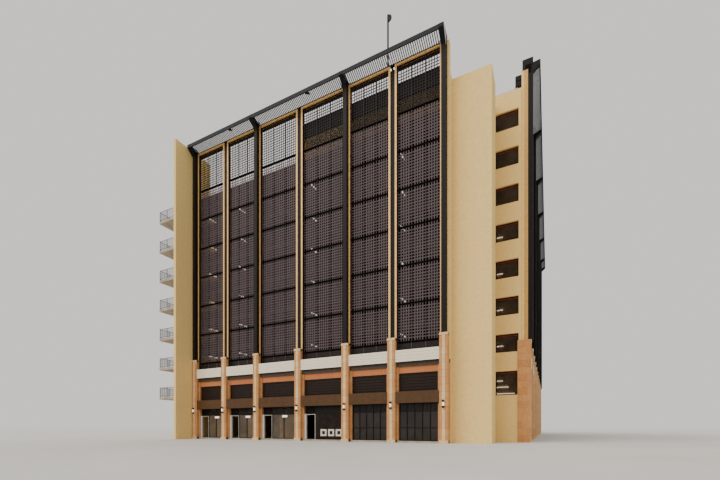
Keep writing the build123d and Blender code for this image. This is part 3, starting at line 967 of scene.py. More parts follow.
@dataclass
class Canopies:
    """The raking roof edge: slats between a foot rail and a deep edge beam."""

    grid: Grid
    facades: list[Facade]
    reach: float = 0.38
    rise: float = 0.225
    slat_pitch: float = 0.09
    slat_width: float = 0.04
    slat_depth: float = 0.035
    beam_depth: float = 0.18
    beam_width: float = 0.045
    foot: float = 0.09
    gusset_size: float = 0.2
    gusset_depth: float = 0.008
    light_radius: float = 0.045
    light_length: float = 0.26
    light_lines: tuple[int, ...] = (1, 3)
    light_place: float = 0.7

    def raked(self, obj: Part, y: float = 0.0, z: float = 0.0) -> Part:
        """Tilt a level part to the canopy's slope.

        Args:
            obj: the part, which ends at the slats' foot.
            y: how far it is moved back from there.
            z: how far it is moved up from there.

        Returns:
            The same part.
        """
        g = self.grid
        foot = Matrix.Translation((0.0, g.frame_front + y, g.frame_top + z))
        slope = math.atan2(self.rise, self.reach + g.frame_front)
        obj.data.transform(foot @ Matrix.Rotation(-slope, 4, "X"))
        return obj

    def gusset(self) -> Part:
        """Model the curved plate that fills a lower corner of a canopy, at its left end.

        Returns:
            The plate, a square with a round bite.
        """
        r, top = self.gusset_size, -0.004
        plate = bar("gusset", (0.0, -r, top - self.gusset_depth), (r, 0.0, top))
        cutter = cylinder(r, 0.1, (r, -r, 0.0), vertices=48)
        modify(plate, "BOOLEAN", operation="DIFFERENCE", object=cutter)
        discard(cutter)
        return self.raked(plate, -0.05, 0.02)

    def spotlight(self, along: float) -> Part:
        """Model a spotlight on a short stem, which hangs behind the edge beam.

        Args:
            along: its place along the front.

        Returns:
            The spotlight.
        """
        y, z = 0.12 - self.reach, self.grid.frame_top + 0.1
        stem = bar("stem", (along - 0.015, y - 0.01, z), (along + 0.005, y + 0.01, z + 0.1), 0.002)
        head = cylinder(self.light_radius, self.light_length, (along + 0.09, y, z - 0.03),
                        turn=(0.0, 115.0, 0.0))
        return join("spotlight", [stem, bevelled(head, 0.008)])

    def slats(self, length: float) -> Part:
        """Model the slats of one length of canopy, whose left end is at X 0.

        Args:
            length: the length between two dark columns.

        Returns:
            The slats.
        """
        count = round(length / self.slat_pitch)
        step = length / count
        slant = math.hypot(self.reach + self.grid.frame_front, self.rise)
        x = (step - self.slat_width) / 2
        slat = bar("slat", (x, -slant, 0.0), (x + self.slat_width, 0.0, self.slat_depth), 0.003)
        return repeat(self.raked(slat), count, (step, 0.0, 0.0))

    def beams(self, length: float) -> Part:
        """Model what carries the slats of one length.

        Args:
            length: the length between two dark columns.

        Returns:
            The edge beam, the foot rail and a gusset at each end.
        """
        g = self.grid
        tip = g.frame_top + self.rise
        beam = bar("beam", (0.0, -self.reach, tip - self.beam_depth),
                   (length, -self.reach + self.beam_width, tip + 0.02), 0.006)
        foot = bar("foot", (0.0, g.frame_front - 0.03, g.frame_top),
                   (length, g.frame_front + self.foot, g.frame_top + 0.02), 0.004)
        left = self.gusset()
        return join("beams", [beam, foot, left, mirrored(left, length)])

    def build(self) -> None:
        """Make the canopies of all sides, which stand for the solid canopies."""
        half = self.grid.column_half
        sheets, frames = [], []
        for facade in self.facades:
            places = [facade.lines[i] for i in facade.dark]
            for left, right in zip(places[:-1], places[1:]):
                length = right - left - 2 * half
                for model, group in ((self.slats(length), sheets), (self.beams(length), frames)):
                    model.data.transform(facade.matrix(left + half))
                    group.append(model)
            if facade.name == "front":
                frames += [self.spotlight(facade.lines[i] + self.light_place) for i in self.light_lines]
        piece("canopy_slats", sheets, CANOPY, "canopies")
        piece("canopy_beams", frames, CANOPY_BEAM, "canopies")


@dataclass
class Windows:
    """Fixed windows in a rendered wall: dark frames round tinted panes."""

    openings: list[Opening]
    frame_width: float = 0.035
    frame_depth: float = 0.05
    pane_depth: float = 0.008

    def window(self, low: Point, high: Point, axis: int) -> tuple[Part, Part]:
        """Model a window in a wall.

        Args:
            low: the opening's lowest corner, on the window's plane.
            high: the opening's highest corner, on the window's plane.
            axis: 0 for a window that faces along X, 1 for one that faces along Y.

        Returns:
            The frame and the pane.
        """
        through = Vector([float(i == axis) for i in range(3)])
        rim = (Vector((1.0, 1.0, 1.0)) - through) * self.frame_width / 2
        deep, thin = through * self.frame_depth / 2, through * self.pane_depth / 2
        frame = pierce(bar("frame", Vector(low) - deep, Vector(high) + deep), axis, self.frame_width)
        return frame, bar("pane", Vector(low) - thin + rim, Vector(high) + thin - rim, 0.001)

    def build(self, name: str, node: str, glass: Finish) -> None:
        """Make all windows of one wall, which stand for that wall's solid windows.

        Args:
            name: how the names of the pieces start.
            node: the solid windows.
            glass: the finish of the panes.
        """
        frames, panes = zip(*(self.window(*opening) for opening in self.openings))
        piece(f"{name}_frames", list(frames), BRONZE, node)
        piece(f"{name}_panes", list(panes), glass, node)


@dataclass
class Core:
    """The core's windows from the top down, and what shows behind their smoked glass."""

    grid: Grid
    floors: int = 8
    height: float = 0.81
    lowest_height: float = 1.07
    set_back: float = 0.045
    blind_gap: float = 0.07
    blind: float = 0.01
    rail_inset: float = 0.03
    rail: float = 0.045
    rail_drop: float = 0.055
    tube_inset: float = 0.04
    tube: float = 0.03
    # Each lit tube: its window's number from the top, its drop below the head and its length
    lit: tuple[tuple[int, float, float], ...] = (
        (3, 0.52, 0.26), (4, 0.52, 0.26), (5, 0.5, 0.26), (6, 0.48, 0.28), (7, 0.4, 0.26), (7, 0.68, 0.5),
        (7, 0.98, 0.75))

    def openings(self) -> list[Opening]:
        """Work out the window openings from the solid windows.

        Returns:
            The openings, the highest first.
        """
        low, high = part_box("core_windows")
        y, made = low[1] + self.set_back, []
        for i in range(self.floors):
            head = high[2] - self.grid.storey * i
            height = self.lowest_height if i == self.floors - 1 else self.height
            made.append(((low[0], y, head - height), (high[0], y, head), 1))
        return made

    def build_interiors(self) -> None:
        """Set a brown blind, a red rail and lit tubes behind the windows."""
        blinds, rails, tubes = [], [], []
        for i, ((x0, y, foot), (x1, _, head), _) in enumerate(self.openings()):
            back, side, top = y + self.blind_gap, self.rail_inset, head - self.rail_drop
            blinds.append(bar("blind", (x0, back, foot), (x1, back + self.blind, head)))
            rails.append(bar("rail", (x0 + side, y - 0.024, top - self.rail),
                             (x1 - side, y - 0.006, top), 0.004))
            x = x0 + self.tube_inset
            for floor, drop, length in self.lit:
                if floor == i:
                    z = head - drop
                    tubes.append(bar("tube", (x, y + 0.02, z - self.tube),
                                     (x + length, y + 0.02 + self.tube, z), 0.008))
        piece("core_boards", blinds, BLIND)
        piece("core_window_rails", rails, RED_RAIL)
        piece("core_tubes", tubes, TUBE)


@dataclass
class Flank:
    """The windows of the left flank, in columns of one size."""

    grid: Grid
    width: float = 0.88
    height: float = 0.75
    columns: int = 3
    floors: int = 6

    def openings(self) -> list[Opening]:
        """Work out the window openings from the solid windows.

        Returns:
            The openings, column by column.
        """
        low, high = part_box("left_flank_windows")
        step = (high[1] - low[1] - self.width) / (self.columns - 1)
        made = []
        for i in range(self.columns):
            for k in range(self.floors):
                y, z = low[1] + i * step, low[2] + k * self.grid.storey
                made.append(((low[0], y, z), (low[0], y + self.width, z + self.height), 0))
        return made


@dataclass
class Lanterns:
    """Wall lanterns: an opal tube between two dark caps, on a short arm."""

    facade: Facade
    bottom: float = 1.44
    height: float = 0.32
    radius: float = 0.04
    cap_radius: float = 0.054
    cap: float = 0.085
    standoff: float = 0.055
    wall: float = -0.02
    arm_half: float = 0.02

    def build(self) -> None:
        """Make a lantern on every pilaster of the street front."""
        y, foot, top = self.wall - self.standoff, self.bottom, self.bottom + self.height
        tube = cylinder(self.radius, self.height - 2 * self.cap, (0.0, y, (foot + top) / 2))
        ends = [bevelled(cylinder(self.cap_radius, self.cap, (0.0, y, z)), 0.006, segments=2)
                for z in (foot + self.cap / 2, top - self.cap / 2)]
        arm = bar("arm", (-self.arm_half, y, top - self.cap),
                  (self.arm_half, self.wall, top - self.cap / 2), 0.003)
        head = join("head", [*ends, arm])
        piece("lantern_tubes", self.facade.copies(tube), LAMP, "lanterns")
        piece("lantern_caps", self.facade.copies(head), BRONZE, "lanterns")
        discard(tube, head)


class BayKind(Enum):
    """What fills one street bay below its fascia."""

    DOOR_AND_PANE = "door_and_pane"
    DOOR_AND_PANEL = "door_and_panel"
    GLAZED = "glazed"


@dataclass
class StreetStorey:
    """Shop fronts, side glazing and trims between the stone jambs."""

    grid: Grid
    facades: list[Facade]
    jamb: float = 0.085
    foot: float = 0.075
    head: float = 1.69
    side_head: float = 2.98
    transom: float = 1.32
    low_rail: float = 0.62
    front: float = 0.275
    depth: float = 0.05
    member: float = 0.035
    pane_depth: float = 0.012
    grille_pitch: float = 0.06
    post: float = 0.1
    door: float = 0.5
    door_top: float = 1.275
    door_rim: float = 0.022
    square_size: float = 0.33
    square_gap: float = 0.09
    square_rim: float = 0.085
    square_foot: float = 0.24
    board_back: float = 0.5
    board_inset: float = 0.1
    board_top: float = 1.2
    light_box: float = 0.3
    light_box_share: float = 0.45
    light_box_foot: float = 1.17
    light_box_top: float = 1.27
    trim_foot: float = 3.25
    trim_top: float = 3.45
    trim_depth: float = 0.012
    trim_back: float = 0.034
    trim_sheet: float = 0.01
    entrance_bay: int = 9
    entrance_head: float = 1.5
    kinds: tuple[BayKind, ...] = (
        BayKind.DOOR_AND_PANE, BayKind.DOOR_AND_PANE, BayKind.DOOR_AND_PANE, BayKind.DOOR_AND_PANEL,
        BayKind.GLAZED, BayKind.GLAZED)
    made: dict[str, list[Part]] = field(default_factory=lambda: defaultdict(list))

    def plate(self, name: str, x: Span, y: Span, z: Span, bevel: float = 0.004) -> Part:
        """Model a bar from its reach along each axis, with Y counted from the front of the frames."""
        return bar(name, (x[0], self.front + y[0], z[0]), (x[1], self.front + y[1], z[1]), bevel)

    def window(self, left: float, right: float, bottom: float, top: float, lights: int,
               rails: tuple[float, ...]) -> tuple[Part, Part]:
        """Model a metal window: stiles, mullions, rails and one pane behind them.

        Args:
            left: the left edge.
            right: the right edge.
            bottom: the sill's underside.
            top: the head's top.
            lights: how many panes stand side by side.
            rails: the heights of the rails between sill and head.

        Returns:
            The frame and its pane.
        """
        m, middle = self.member, self.depth * 0.6
        stile = self.plate("stile", (left, left + m), (0.0, self.depth), (bottom, top))
        parts = [repeat(stile, lights + 1, ((right - left - m) / lights, 0.0, 0.0))]
        parts += [self.plate("rail", (left, right), (0.008, self.depth), (z, z + m))
                  for z in (bottom, *rails, top - m)]
        pane = self.plate("pane", (left + m / 2, right - m / 2), (middle, middle + self.pane_depth),
                          (bottom + m / 2, top - m / 2), 0.001)
        return join("window", parts), pane

    def grille(self, left: float, right: float) -> Part:
        """Model the vent grille over the transom: upright bars in front of a closed back.

        Args:
            left: the left edge.
            right: the right edge.

        Returns:
            The bars and their back.
        """
        m, z = self.member, (self.transom + self.member, self.head - self.member)
        clear = right - left - 2 * m
        count = max(2, round(clear / self.grille_pitch))
        step = clear / count
        x = left + m + step * 0.3
        blade = self.plate("blade", (x, x + step * 0.4), (0.01, 0.022), z, 0.002)
        back = self.plate("back", (left + m / 2, right - m / 2), (0.032, 0.044), z, 0.001)
        return join("grille", [repeat(blade, count, (step, 0.0, 0.0)), back])

    def entrance(self, left: float) -> Part:
        """Model a pale post and the thin frame of the open way beside it.

        Args:
            left: the left edge of the post.

        Returns:
            The post, the head and the side.
        """
        x0, x1, full = left + self.post, left + self.post + self.door, (0.0, self.depth)
        return join("entrance", [
            self.plate("post", (left, x0), (-0.05, self.depth), (self.foot, self.transom), 0.006),
            self.plate("head", (x0, x1), full, (self.door_top, self.door_top + self.door_rim), 0.002),
            self.plate("side", (x1 - self.door_rim, x1), full, (self.foot, self.door_top), 0.002)])

    def squares(self, right: float) -> list[Part]:
        """Model the three plain square frames that stand in front of the closed panel.

        Args:
            right: the right edge of the panel.

        Returns:
            The frames, from left to right.
        """
        size, pitch = self.square_size, self.square_size + self.square_gap
        first = right - size - 2 * pitch - 0.02
        made = []
        for i in range(3):
            x, z = first + i * pitch, self.square_foot
            square = self.plate("square", (x, x + size), (-0.008, 0.012), (z, z + size), 0.0)
            made.append(pierce(square, 1, self.square_rim))
        return made

    def street_bay(self, kind: BayKind, left: float, right: float) -> None:
        """Fill one bay of the street front.

        Args:
            kind: what stands in the bay.
            left: the left jamb's edge.
            right: the right jamb's edge.
        """
        m, full, made, start = self.member, (0.0, self.depth), self.made, left
        frames, glazed = made["shop_front_frames"], kind is BayKind.GLAZED
        if not glazed:
            start = left + self.post + self.door
            made["entrance_frames"].append(self.entrance(left))
            frames += [self.plate("above", (left + self.post, start), (0.005, 0.03),
                                  (self.door_top + self.door_rim, self.transom), 0.002),
                       self.plate("rail", (left, start), full, (self.transom, self.transom + m)),
                       self.plate("rail", (left, start), full, (self.head - m, self.head))]
        if kind is BayKind.DOOR_AND_PANEL:
            made["shop_panels"].append(
                self.plate("panel", (start, right), (0.012, self.depth), (self.foot, self.transom)))
            frames.append(self.plate("over", (start, right), full, (self.transom, self.head)))
            made["entrance_frames"] += self.squares(right)
        else:
            lights, rails = (5, (self.transom, self.low_rail)) if glazed else (2, (self.transom,))
            frame, pane = self.window(start, right, self.foot, self.head, lights, rails)
            frames.append(frame)
            made["shop_front_panes" if glazed else "shop_clear_panes"].append(pane)
        if kind is BayKind.DOOR_AND_PANE:
            made["shop_boards"].append(self.plate(
                "board", (start + self.board_inset, right), (self.board_back, self.board_back + 0.02),
                (self.foot, self.board_top)))
            x = start + (right - start) * self.light_box_share
            made["shop_light_boxes"].append(self.plate(
                "light_box", (x, x + self.light_box), (-0.03, 0.01),
                (self.light_box_foot, self.light_box_top), 0.008))
        frames.append(self.grille(left, right))

    def side_bay(self, left: float, right: float, bottom: float) -> tuple[Part, Part]:
        """Fill one bay of the right side or the back with tall glazing.

        Args:
            left: the left jamb's edge.
            right: the right jamb's edge.
            bottom: the sill's underside.

        Returns:
            The frame and its pane.
        """
        rails = (self.low_rail, self.head) if bottom == self.foot else (self.head,)
        return self.window(left, right, bottom, self.side_head, 3, rails)

    def trims(self) -> list[Part]:
        """Model the dark edge trim over the lintels and under the parapet.

        Returns:
            The trims of every bay on every side.
        """
        h, face, made = self.grid.half_pilaster, self.grid.frame_front, []
        back, top = face - self.trim_depth, self.trim_top
        for facade in self.facades:
            for left, right in facade.bays():
                x0, x1 = left + h, right - h
                trim = join("trim", [
                    bar("edge", (x0, back, self.trim_foot), (x1, face, top), 0.002),
                    bar("soffit", (x0, self.trim_back, top - self.trim_sheet), (x1, back, top), 0.002)])
                trim.data.transform(facade.matrix())
                made.append(trim)
        return made

    def build(self) -> None:
        """Make every bay, then the pieces, which stand for the plain solid ones."""
        inset = self.grid.half_pilaster + self.jamb
        for kind, (left, right) in zip(self.kinds, self.facades[0].bays()):
            self.street_bay(kind, left + inset, right - inset)
        for facade in self.facades[1:]:
            for i, (left, right) in enumerate(facade.bays()):
                entrance = facade.name == "right" and i == self.entrance_bay
                bottom = self.entrance_head if entrance else self.foot
                models = self.side_bay(left + inset, right - inset, bottom)
                for name, model in zip(("side_window_frames", "side_window_panes"), models):
                    model.data.transform(facade.matrix())
                    self.made[name].append(model)
        self.made["slab_edge_trims"] = self.trims()
        for name, finish, slot, stands_for in (
                ("shop_front_frames", BRONZE, "dark_metal", "shop_glazing"),
                ("shop_front_panes", DARK_GLASS, "glazing", "shop_glazing"),
                ("entrance_frames", WHITE_FRAME, "white_frame", "shop_doorways"),
                ("shop_light_boxes", LAMP, "lamp", ""),
                ("shop_panels", DARK_LINING, "dark_metal", ""),
                ("shop_clear_panes", SHOP_GLASS, "glazing", "shop_glazing"),
                ("shop_boards", SHOP_BOARD, "dark_metal", ""),
                ("side_window_frames", BRONZE, "dark_metal", "side_glazing"),
                ("side_window_panes", DARK_GLASS, "glazing", "side_glazing"),
                ("slab_edge_trims", EDGE_TRIM, "fascia", "")):
            piece(name, self.made[name], finish, stands_for)


@dataclass
class Pilasters:
    """Stone pilasters laid in courses, with canted sides, a pale strip, a plinth and a cap."""

    grid: Grid
    facades: list[Facade]
    course: float = 0.3
    joint: float = 0.006
    core_inset: float = 0.012
    cant: float = 0.035
    depth: float = 0.175
    strip_half: float = 0.065
    strip_proud: float = 0.02
    strip_cant: float = 0.01
    plinth: float = 0.13
    plinth_proud: float = 0.035
    cap: float = 0.1
    cap_proud: float = 0.03
    trim_cant: float = 0.03
    wrap: float = 0.05
    wrap_width: float = 0.535

    def cant_front(self, block: Part, width: float) -> Part:
        """Bevel the upright front edges of a block.

        Args:
            block: the block.
            width: the width of the bevel.

        Returns:
            The same block.
        """
        front = min(v.co.y for v in block.data.vertices)

        def at_front(edge: bpy.types.MeshEdge) -> bool:
            """Tell whether an edge is upright and on the block's front."""
            a, b = (block.data.vertices[i].co for i in edge.vertices)
            return abs(a.y - front) < 1e-5 and abs(b.y - front) < 1e-5 and abs(a.z - b.z) > 0.01

        return edit_chosen(block, "EDGE", at_front,
                           lambda: bpy.ops.mesh.bevel(offset=width, segments=1, affect="EDGES"))

    def courses(self, low: Span, high: Span, cant: float) -> Part:
        """Model a stack of stones on a plan rectangle, with open joints over a set back core.

        Args:
            low: the lowest X and Y of the plan.
            high: the highest X and Y of the plan.
            cant: the width of the bevel on the front edges.

        Returns:
            The stones and their core.
        """
        top = self.grid.pilaster_top
        stone = bar("stone", (*low, self.joint / 2), (*high, self.course - self.joint / 2))
        self.cant_front(stone, cant)
        repeat(stone, round(top / self.course), (0.0, 0.0, self.course))
        d = min(self.core_inset, (high[0] - low[0]) / 4, (high[1] - low[1]) / 4)
        core = bar("core", (low[0] + d, low[1] + d, 0.0), (high[0] - d, high[1] - d, top))
        return join("courses", [stone, self.cant_front(core, max(0.001, cant - d))])

    def model(self) -> tuple[Part, Part]:
        """Model one pilaster at X 0.

        Returns:
            The shaft, and the pale strip with the plinth and the cap.
        """
        h, top = self.grid.half_pilaster, self.grid.pilaster_top
        shaft = self.courses((-h, 0.0), (h, self.depth), self.cant)
        strip = self.courses((-self.strip_half, -self.strip_proud), (self.strip_half, 0.004), self.strip_cant)
        ends = [self.cant_front(bar(name, (-h, -proud, low), (h, self.depth, high)), self.trim_cant)
                for name, proud, low, high in (("plinth", self.plinth_proud, 0.0, self.plinth),
                                               ("cap", self.cap_proud, top - self.cap, top))]
        return shaft, join("pale", [strip, *ends])

    def build(self) -> None:
        """Make the pilasters of each side, which stand for the solid ones."""
        shaft, trim = self.model()
        for facade in self.facades:
            shafts, node = facade.copies(shaft), f"{facade.name}_pilasters"
            if facade.name == "right":
                edge = -self.grid.half_pilaster
                wrap = self.courses((edge - self.wrap, 0.0), (edge, self.wrap_width), 0.004)
                wrap.data.transform(facade.matrix())
                shafts.append(wrap)
            piece(f"{facade.name}_pilaster_shafts", shafts, SANDSTONE, node)
            piece(f"{facade.name}_pilaster_strips_and_caps", facade.copies(trim), PALE_STONE, node)
        discard(shaft, trim)


@dataclass
class RoofFittings:
    """What stands at the roof edge: the mast, small lamps, column heads and casings."""

    grid: Grid
    facades: list[Facade]
    mast_radius: float = 0.038
    collar_radius: float = 0.06
    collar_height: float = 0.12
    head_radius: float = 0.16
    head_depth: float = 0.05
    casing: float = 0.004
    proud: float = 0.086
    head_foot: float = 16.2
    head_top: float = 16.87
    bulb: float = 0.04
    fin_depth: float = 0.95

    def mast(self) -> tuple[Part, Part]:
        """Model the mast.

        Returns:
            The half round head on its right, and the tube with a collar at its foot.
        """
        low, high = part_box("roof_mast")
        x, y = (low[0] + high[0]) / 2, (low[1] + high[1]) / 2
        centre = (x + 0.015, y, high[2] - self.head_radius - 0.01)
        head = cylinder(self.head_radius, self.head_depth, centre, vertices=32, turn=(90.0, 0.0, 0.0))
        bevelled(bisected(head, centre, (1.0, 0.0, 0.0), keep_front=True), 0.006)
        tubes = [bevelled(cylinder(radius, height, (x, y, low[2] + height / 2)), 0.004)
                 for radius, height in ((self.mast_radius, high[2] - low[2]),
                                        (self.collar_radius, self.collar_height))]
        return head, join("tubes", tubes)

    def end_plate(self) -> Part:
        """Model the pale plate on the right side of the last canopy arm.

        Returns:
            The plate, cut to the outline of the arm.
        """
        x, y, z = self.facades[0].lines[-1] + self.grid.column_half, -0.37, self.grid.frame_top
        plate = bar("plate", (x, y, z - 0.36), (x + 0.006, -0.02, z + 0.235))
        bisected(plate, (x, y, z + 0.1), (0.0, -0.8, -0.6))
        return bisected(plate, (x, y, z + 0.23), (0.0, 0.51, 0.86))

    def bulbs(self) -> list[Part]:
        """Model the two round lamps between the frames of the last pair of bays.

        Returns:
            The lamps, cut flat where they meet the wall.
        """
        g, lamps = self.grid, []
        for side in (-1.0, 1.0):
            bpy.ops.object.select_all(action="DESELECT")
            bpy.ops.mesh.primitive_uv_sphere_add(segments=16, ring_count=8, radius=self.bulb, location=(
                self.facades[0].lines[5] + side * 0.08, g.frame_front + 0.01, g.frame_top - 0.17))
            lamp = apply_place(bpy.context.object)
            lamps.append(bisected(lamp, (0.0, g.frame_front + self.bulb, 0.0), (0.0, 1.0, 0.0)))
        return lamps

    def column_covers(self, facade: Facade) -> Part:
        """Model the cover plates and the heads of one side's dark columns.

        Args:
            facade: the side.

        Returns:
            The plates and the heads, in their places.
        """
        g, h, parts = self.grid, self.grid.column_half, []
        for u in (facade.lines[i] for i in facade.dark):
            parts.append(bar("cover", (u - h, -self.proud, g.pilaster_top),
                             (u + h, 0.002, self.head_foot), 0.008))
            parts.append(bar("head", (u - h, -self.proud, self.head_foot),
                             (u + h, g.frame_back - 0.03, self.head_top), 0.008))
        covers = join("covers", parts)
        covers.data.transform(facade.matrix())
        return covers

    def corner_strip(self, v0: float, v1: float) -> Part:
        """Model a strip beside the first post on the right side.

        Args:
            v0: its front, from the right side's plane.
            v1: its back, from the right side's plane.

        Returns:
            The strip, in its place.
        """
        g, x = self.grid, -self.grid.frame_half_gap
        strip = bar("strip", (x - self.casing, v0, g.pilaster_top), (x, v1, g.frame_top - 0.01), 0.001)
        strip.data.transform(self.facades[1].matrix())
        return strip

    def build(self) -> None:
        """Make all fittings."""
        head, tube = self.mast()
        piece("mast_head", [head], CANOPY_BEAM)
        piece("mast", [tube], BRONZE, "roof_mast")
        piece("canopy_end_plate", [self.end_plate()], END_PLATE)
        piece("roof_edge_lamps", self.bulbs(), LAMP)
        piece("column_heads", [self.column_covers(self.facades[1])], BRONZE)
        gold, render = self.corner_strip(0.113, 0.275), self.corner_strip(0.275, self.grid.frame_back)
        piece("corner_casing", [gold], SHADED_CASING_GOLD)
        low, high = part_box("left_flank_wall")
        fin = bar("fin_return", (low[0], low[1], high[2]),
                  (high[0], low[1] + self.fin_depth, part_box("front_fin")[1][2]), 0.004)
        piece("render_returns", [render, fin], RENDER)


@dataclass
class DeckLamps:
    """Lit battens in depth under the decks, behind the screens of the street front."""

    grid: Grid
    first_underside: float = 4.96
    storeys: int = 6
    lines: tuple[float, ...] = (-7.3, -4.93, 0.0, 4.93)
    depth: float = 1.5
    length: float = 0.6
    width: float = 0.06
    drop: float = 0.04

    def build(self) -> None:
        """Hang the battens, which stand for the solid ones."""
        w, half = self.width / 2, self.length / 2
        undersides = [self.first_underside + self.grid.storey * i for i in range(self.storeys)]
        y0, y1 = self.depth - half, self.depth + half
        battens = [bar("batten", (x - w, y0, z - self.drop), (x + w, y1, z), 0.008)
                   for z in undersides for x in self.lines]
        piece("deck_battens", battens, LAMP, "lamp_battens")


@dataclass
class Balconies:
    """Railings of the balconies: rails and posts with fine upright pickets."""

    grid: Grid
    count: int = 7
    picket: float = 0.008
    pitch: float = 0.055
    post_pitch: float = 0.6
    tube: float = 0.02
    gap: float = 0.002

    def run(self, length: float, height: float) -> Part:
        """Model one straight railing along X, from X 0.

        Args:
            length: its length.
            height: its height.

        Returns:
            The rails, posts and pickets.
        """
        t = self.tube
        parts = [bar("rail", (0.0, 0.0, foot), (length, t, foot + t), 0.004) for foot in (height - t, 3 * t)]
        posts = max(1, round(length / self.post_pitch))
        post = bar("post", (0.0, 0.0, 0.0), (t, t, height), 0.003)
        parts.append(repeat(post, posts + 1, ((length - t) / posts, 0.0, 0.0)))
        pickets = round(length / self.pitch) - 1
        step, middle = (length - t) / (pickets + 1), (t - self.picket) / 2
        x = step + middle
        slim = bar("picket", (x, middle, 3.5 * t), (x + self.picket, middle + self.picket, height - t / 2))
        parts.append(repeat(slim, pickets, (step, 0.0, 0.0)))
        return join("run", parts)

    def build(self) -> None:
        """Make the railings of all balconies, which stand for the solid ones."""
        low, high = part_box("balcony_rails")
        t, x = self.tube, low[0] + self.tube + self.gap
        height = high[2] - low[2] - self.grid.storey * (self.count - 1)
        outer = self.run(high[1] - low[1], height)
        outer.data.transform(Matrix.Translation((low[0] + t, low[1], low[2])) @ Matrix.Rotation(
            math.radians(90.0), 4, "Z"))
        side = self.run(high[0] - x, height)
        far = copy_of(side, Matrix.Translation((x, high[1] - t, low[2])))
        side.data.transform(Matrix.Translation((x, low[1], low[2])))
        storey = repeat(join("storey", [outer, side, far]), self.count, (0.0, 0.0, self.grid.storey))
        piece("balcony_railings", [storey], RAIL_STEEL, "balcony_rails")


@dataclass
class RoofBlock:
    """The front of the roof block: its fascia, its roof and the boards under it.

    Its fascia and the roof's front edge start at the middle of the front.
    """

    fascia_start: float = 0.1
    fascia_height: float = 0.72
    corner: float = 0.08
    clearance: float = 0.04
    board: float = 0.012
    lit_end: float = 2.2
    board_gap: float = 0.01

    def roof(self) -> list[Part]:
        """Model the roof, with its front left corner cut off.

        Returns:
            The front, the middle and the back of the roof.
        """
        low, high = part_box("roof_block_roof")
        wall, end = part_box("roof_block_walls")[0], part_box("roof_block_fascia")[1][0]
        overhang = wall[0] - low[0]
        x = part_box("core_windows")[0][0] - self.clearance - overhang
        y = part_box("core_window_wall")[0][1] + overhang
        front = bar("front", low, (end, wall[1], high[2]))
        bisected(front, (self.corner, low[1], low[2]), (wall[1] - low[1], self.corner - low[0], 0.0),
                 keep_front=True)
        return [front, bar("middle", (low[0], wall[1], low[2]), (x, y, high[2])),
                bar("back", (low[0], y, low[2]), high)]

    def build(self) -> None:
        """Make the fascia and the roof, which stand for the solid ones, and the boards."""
        low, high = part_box("roof_block_fascia")
        fascia = bar("fascia", (self.fascia_start, low[1], high[2] - self.fascia_height), high, 0.004)
        piece("block_fascia", [fascia], PANEL, "roof_block_fascia")
        piece("block_roof", self.roof(), RENDER, "roof_block_roof")
        y0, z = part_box("roof_block_roof")[0][1:]
        y1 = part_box("roof_block_walls")[0][1]
        # The board is painted light near the open end and painted shade beyond
        for name, x0, x1, finish in (
                ("tan_soffit", self.fascia_start, self.lit_end, LIT_SOFFIT),
                ("brown_soffit", self.lit_end + self.board_gap, high[0], SHADED_SOFFIT)):
            board = bar(name, (x0, y0 + 0.01, z - self.board), (x1, y1 - 0.002, z - 0.001), 0.002)
            piece(name, [board], finish)


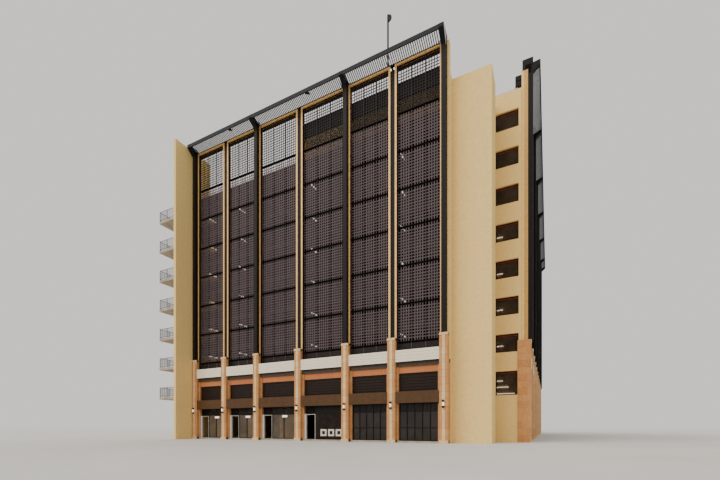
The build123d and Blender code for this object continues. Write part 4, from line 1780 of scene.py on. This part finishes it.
@dataclass
class Stage:
    """The floor, the light and the camera."""

    eye: Point = (11.013, -15.157, 0.657)
    yaw: float = 26.549
    lens: float = 18.9
    shift: float = 0.2602
    floor_size: float = 400.0
    sky: float = 0.9
    sun: float = 1.9
    sun_angle: float = 50.0
    sun_turn: Point = (52.0, 0.0, -28.0)

    def build_floor(self) -> None:
        """Lay the floor."""
        bpy.ops.object.select_all(action="DESELECT")
        bpy.ops.mesh.primitive_plane_add(size=self.floor_size, location=(0.0, 0.0, 0.0))
        floor = bpy.context.object
        floor.name = "pale_floor"
        floor.data.materials.append(material_of(FLOOR))

    def build_light(self) -> None:
        """Make the pale sky and the soft sun."""
        world = bpy.data.worlds.new("studio")
        world.use_nodes = True
        background = world.node_tree.nodes["Background"]
        background.inputs["Color"].default_value = (1.0, 0.98, 0.95, 1.0)
        background.inputs["Strength"].default_value = self.sky
        bpy.context.scene.world = world
        key = bpy.data.lights.new("key", "SUN")
        key.energy = self.sun
        key.angle = math.radians(self.sun_angle)
        key.color = (1.0, 0.95, 0.88)
        lamp = bpy.data.objects.new("key", key)
        lamp.rotation_euler = [math.radians(angle) for angle in self.sun_turn]
        bpy.context.collection.objects.link(lamp)

    def build_camera(self) -> None:
        """Set the level camera with its shifted lens at the eye."""
        data = bpy.data.cameras.new("camera")
        data.lens = self.lens
        data.sensor_width = 36.0
        data.sensor_fit = "HORIZONTAL"
        data.shift_y = self.shift
        data.clip_end = 500.0
        camera = bpy.data.objects.new("camera", data)
        camera.location = self.eye
        camera.rotation_euler = (math.radians(90.0), 0.0, math.radians(self.yaw))
        bpy.context.collection.objects.link(camera)
        bpy.context.scene.camera = camera

    def build(self) -> None:
        """Make the stage."""
        self.build_floor()
        self.build_light()
        self.build_camera()


@dataclass
class Building:
    """The whole car park: the finishes of its solid parts and the pieces that are added."""

    frame: dict
    grid: Grid = field(default_factory=Grid)

    def finish_solids(self) -> None:
        """Give every solid part its real finish."""
        for finish, nodes in SOLID_FINISHES.items():
            for name in nodes:
                materials = self.frame["nodes"][name].data.materials
                if materials:
                    materials[0] = material_of(finish)
                else:
                    materials.append(material_of(finish))

    def build(self) -> None:
        """Finish the solid parts, then add the pieces in order."""
        grid, facades = self.grid, make_facades(self.grid)
        core = Core(grid)
        self.finish_solids()
        Screens(grid, facades).build()
        Canopies(grid, facades).build()
        Windows(core.openings()).build("core_window", "core_windows", CLEAR_GLASS)
        Windows(Flank(grid).openings()).build("flank_window", "left_flank_windows", DARK_GLASS)
        Lanterns(facades[0]).build()
        StreetStorey(grid, facades).build()
        Balconies(grid).build()
        Pilasters(grid, facades).build()
        RoofFittings(grid, facades).build()
        DeckLamps(grid).build()
        core.build_interiors()
        RoofBlock().build()


def main() -> None:
    """Build the dressed car park around the frame."""
    logging.basicConfig(level=logging.INFO, format="%(name)s: %(message)s")
    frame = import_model()
    Stage().build()
    Building(frame).build()


if __name__ == "__main__":
    main()
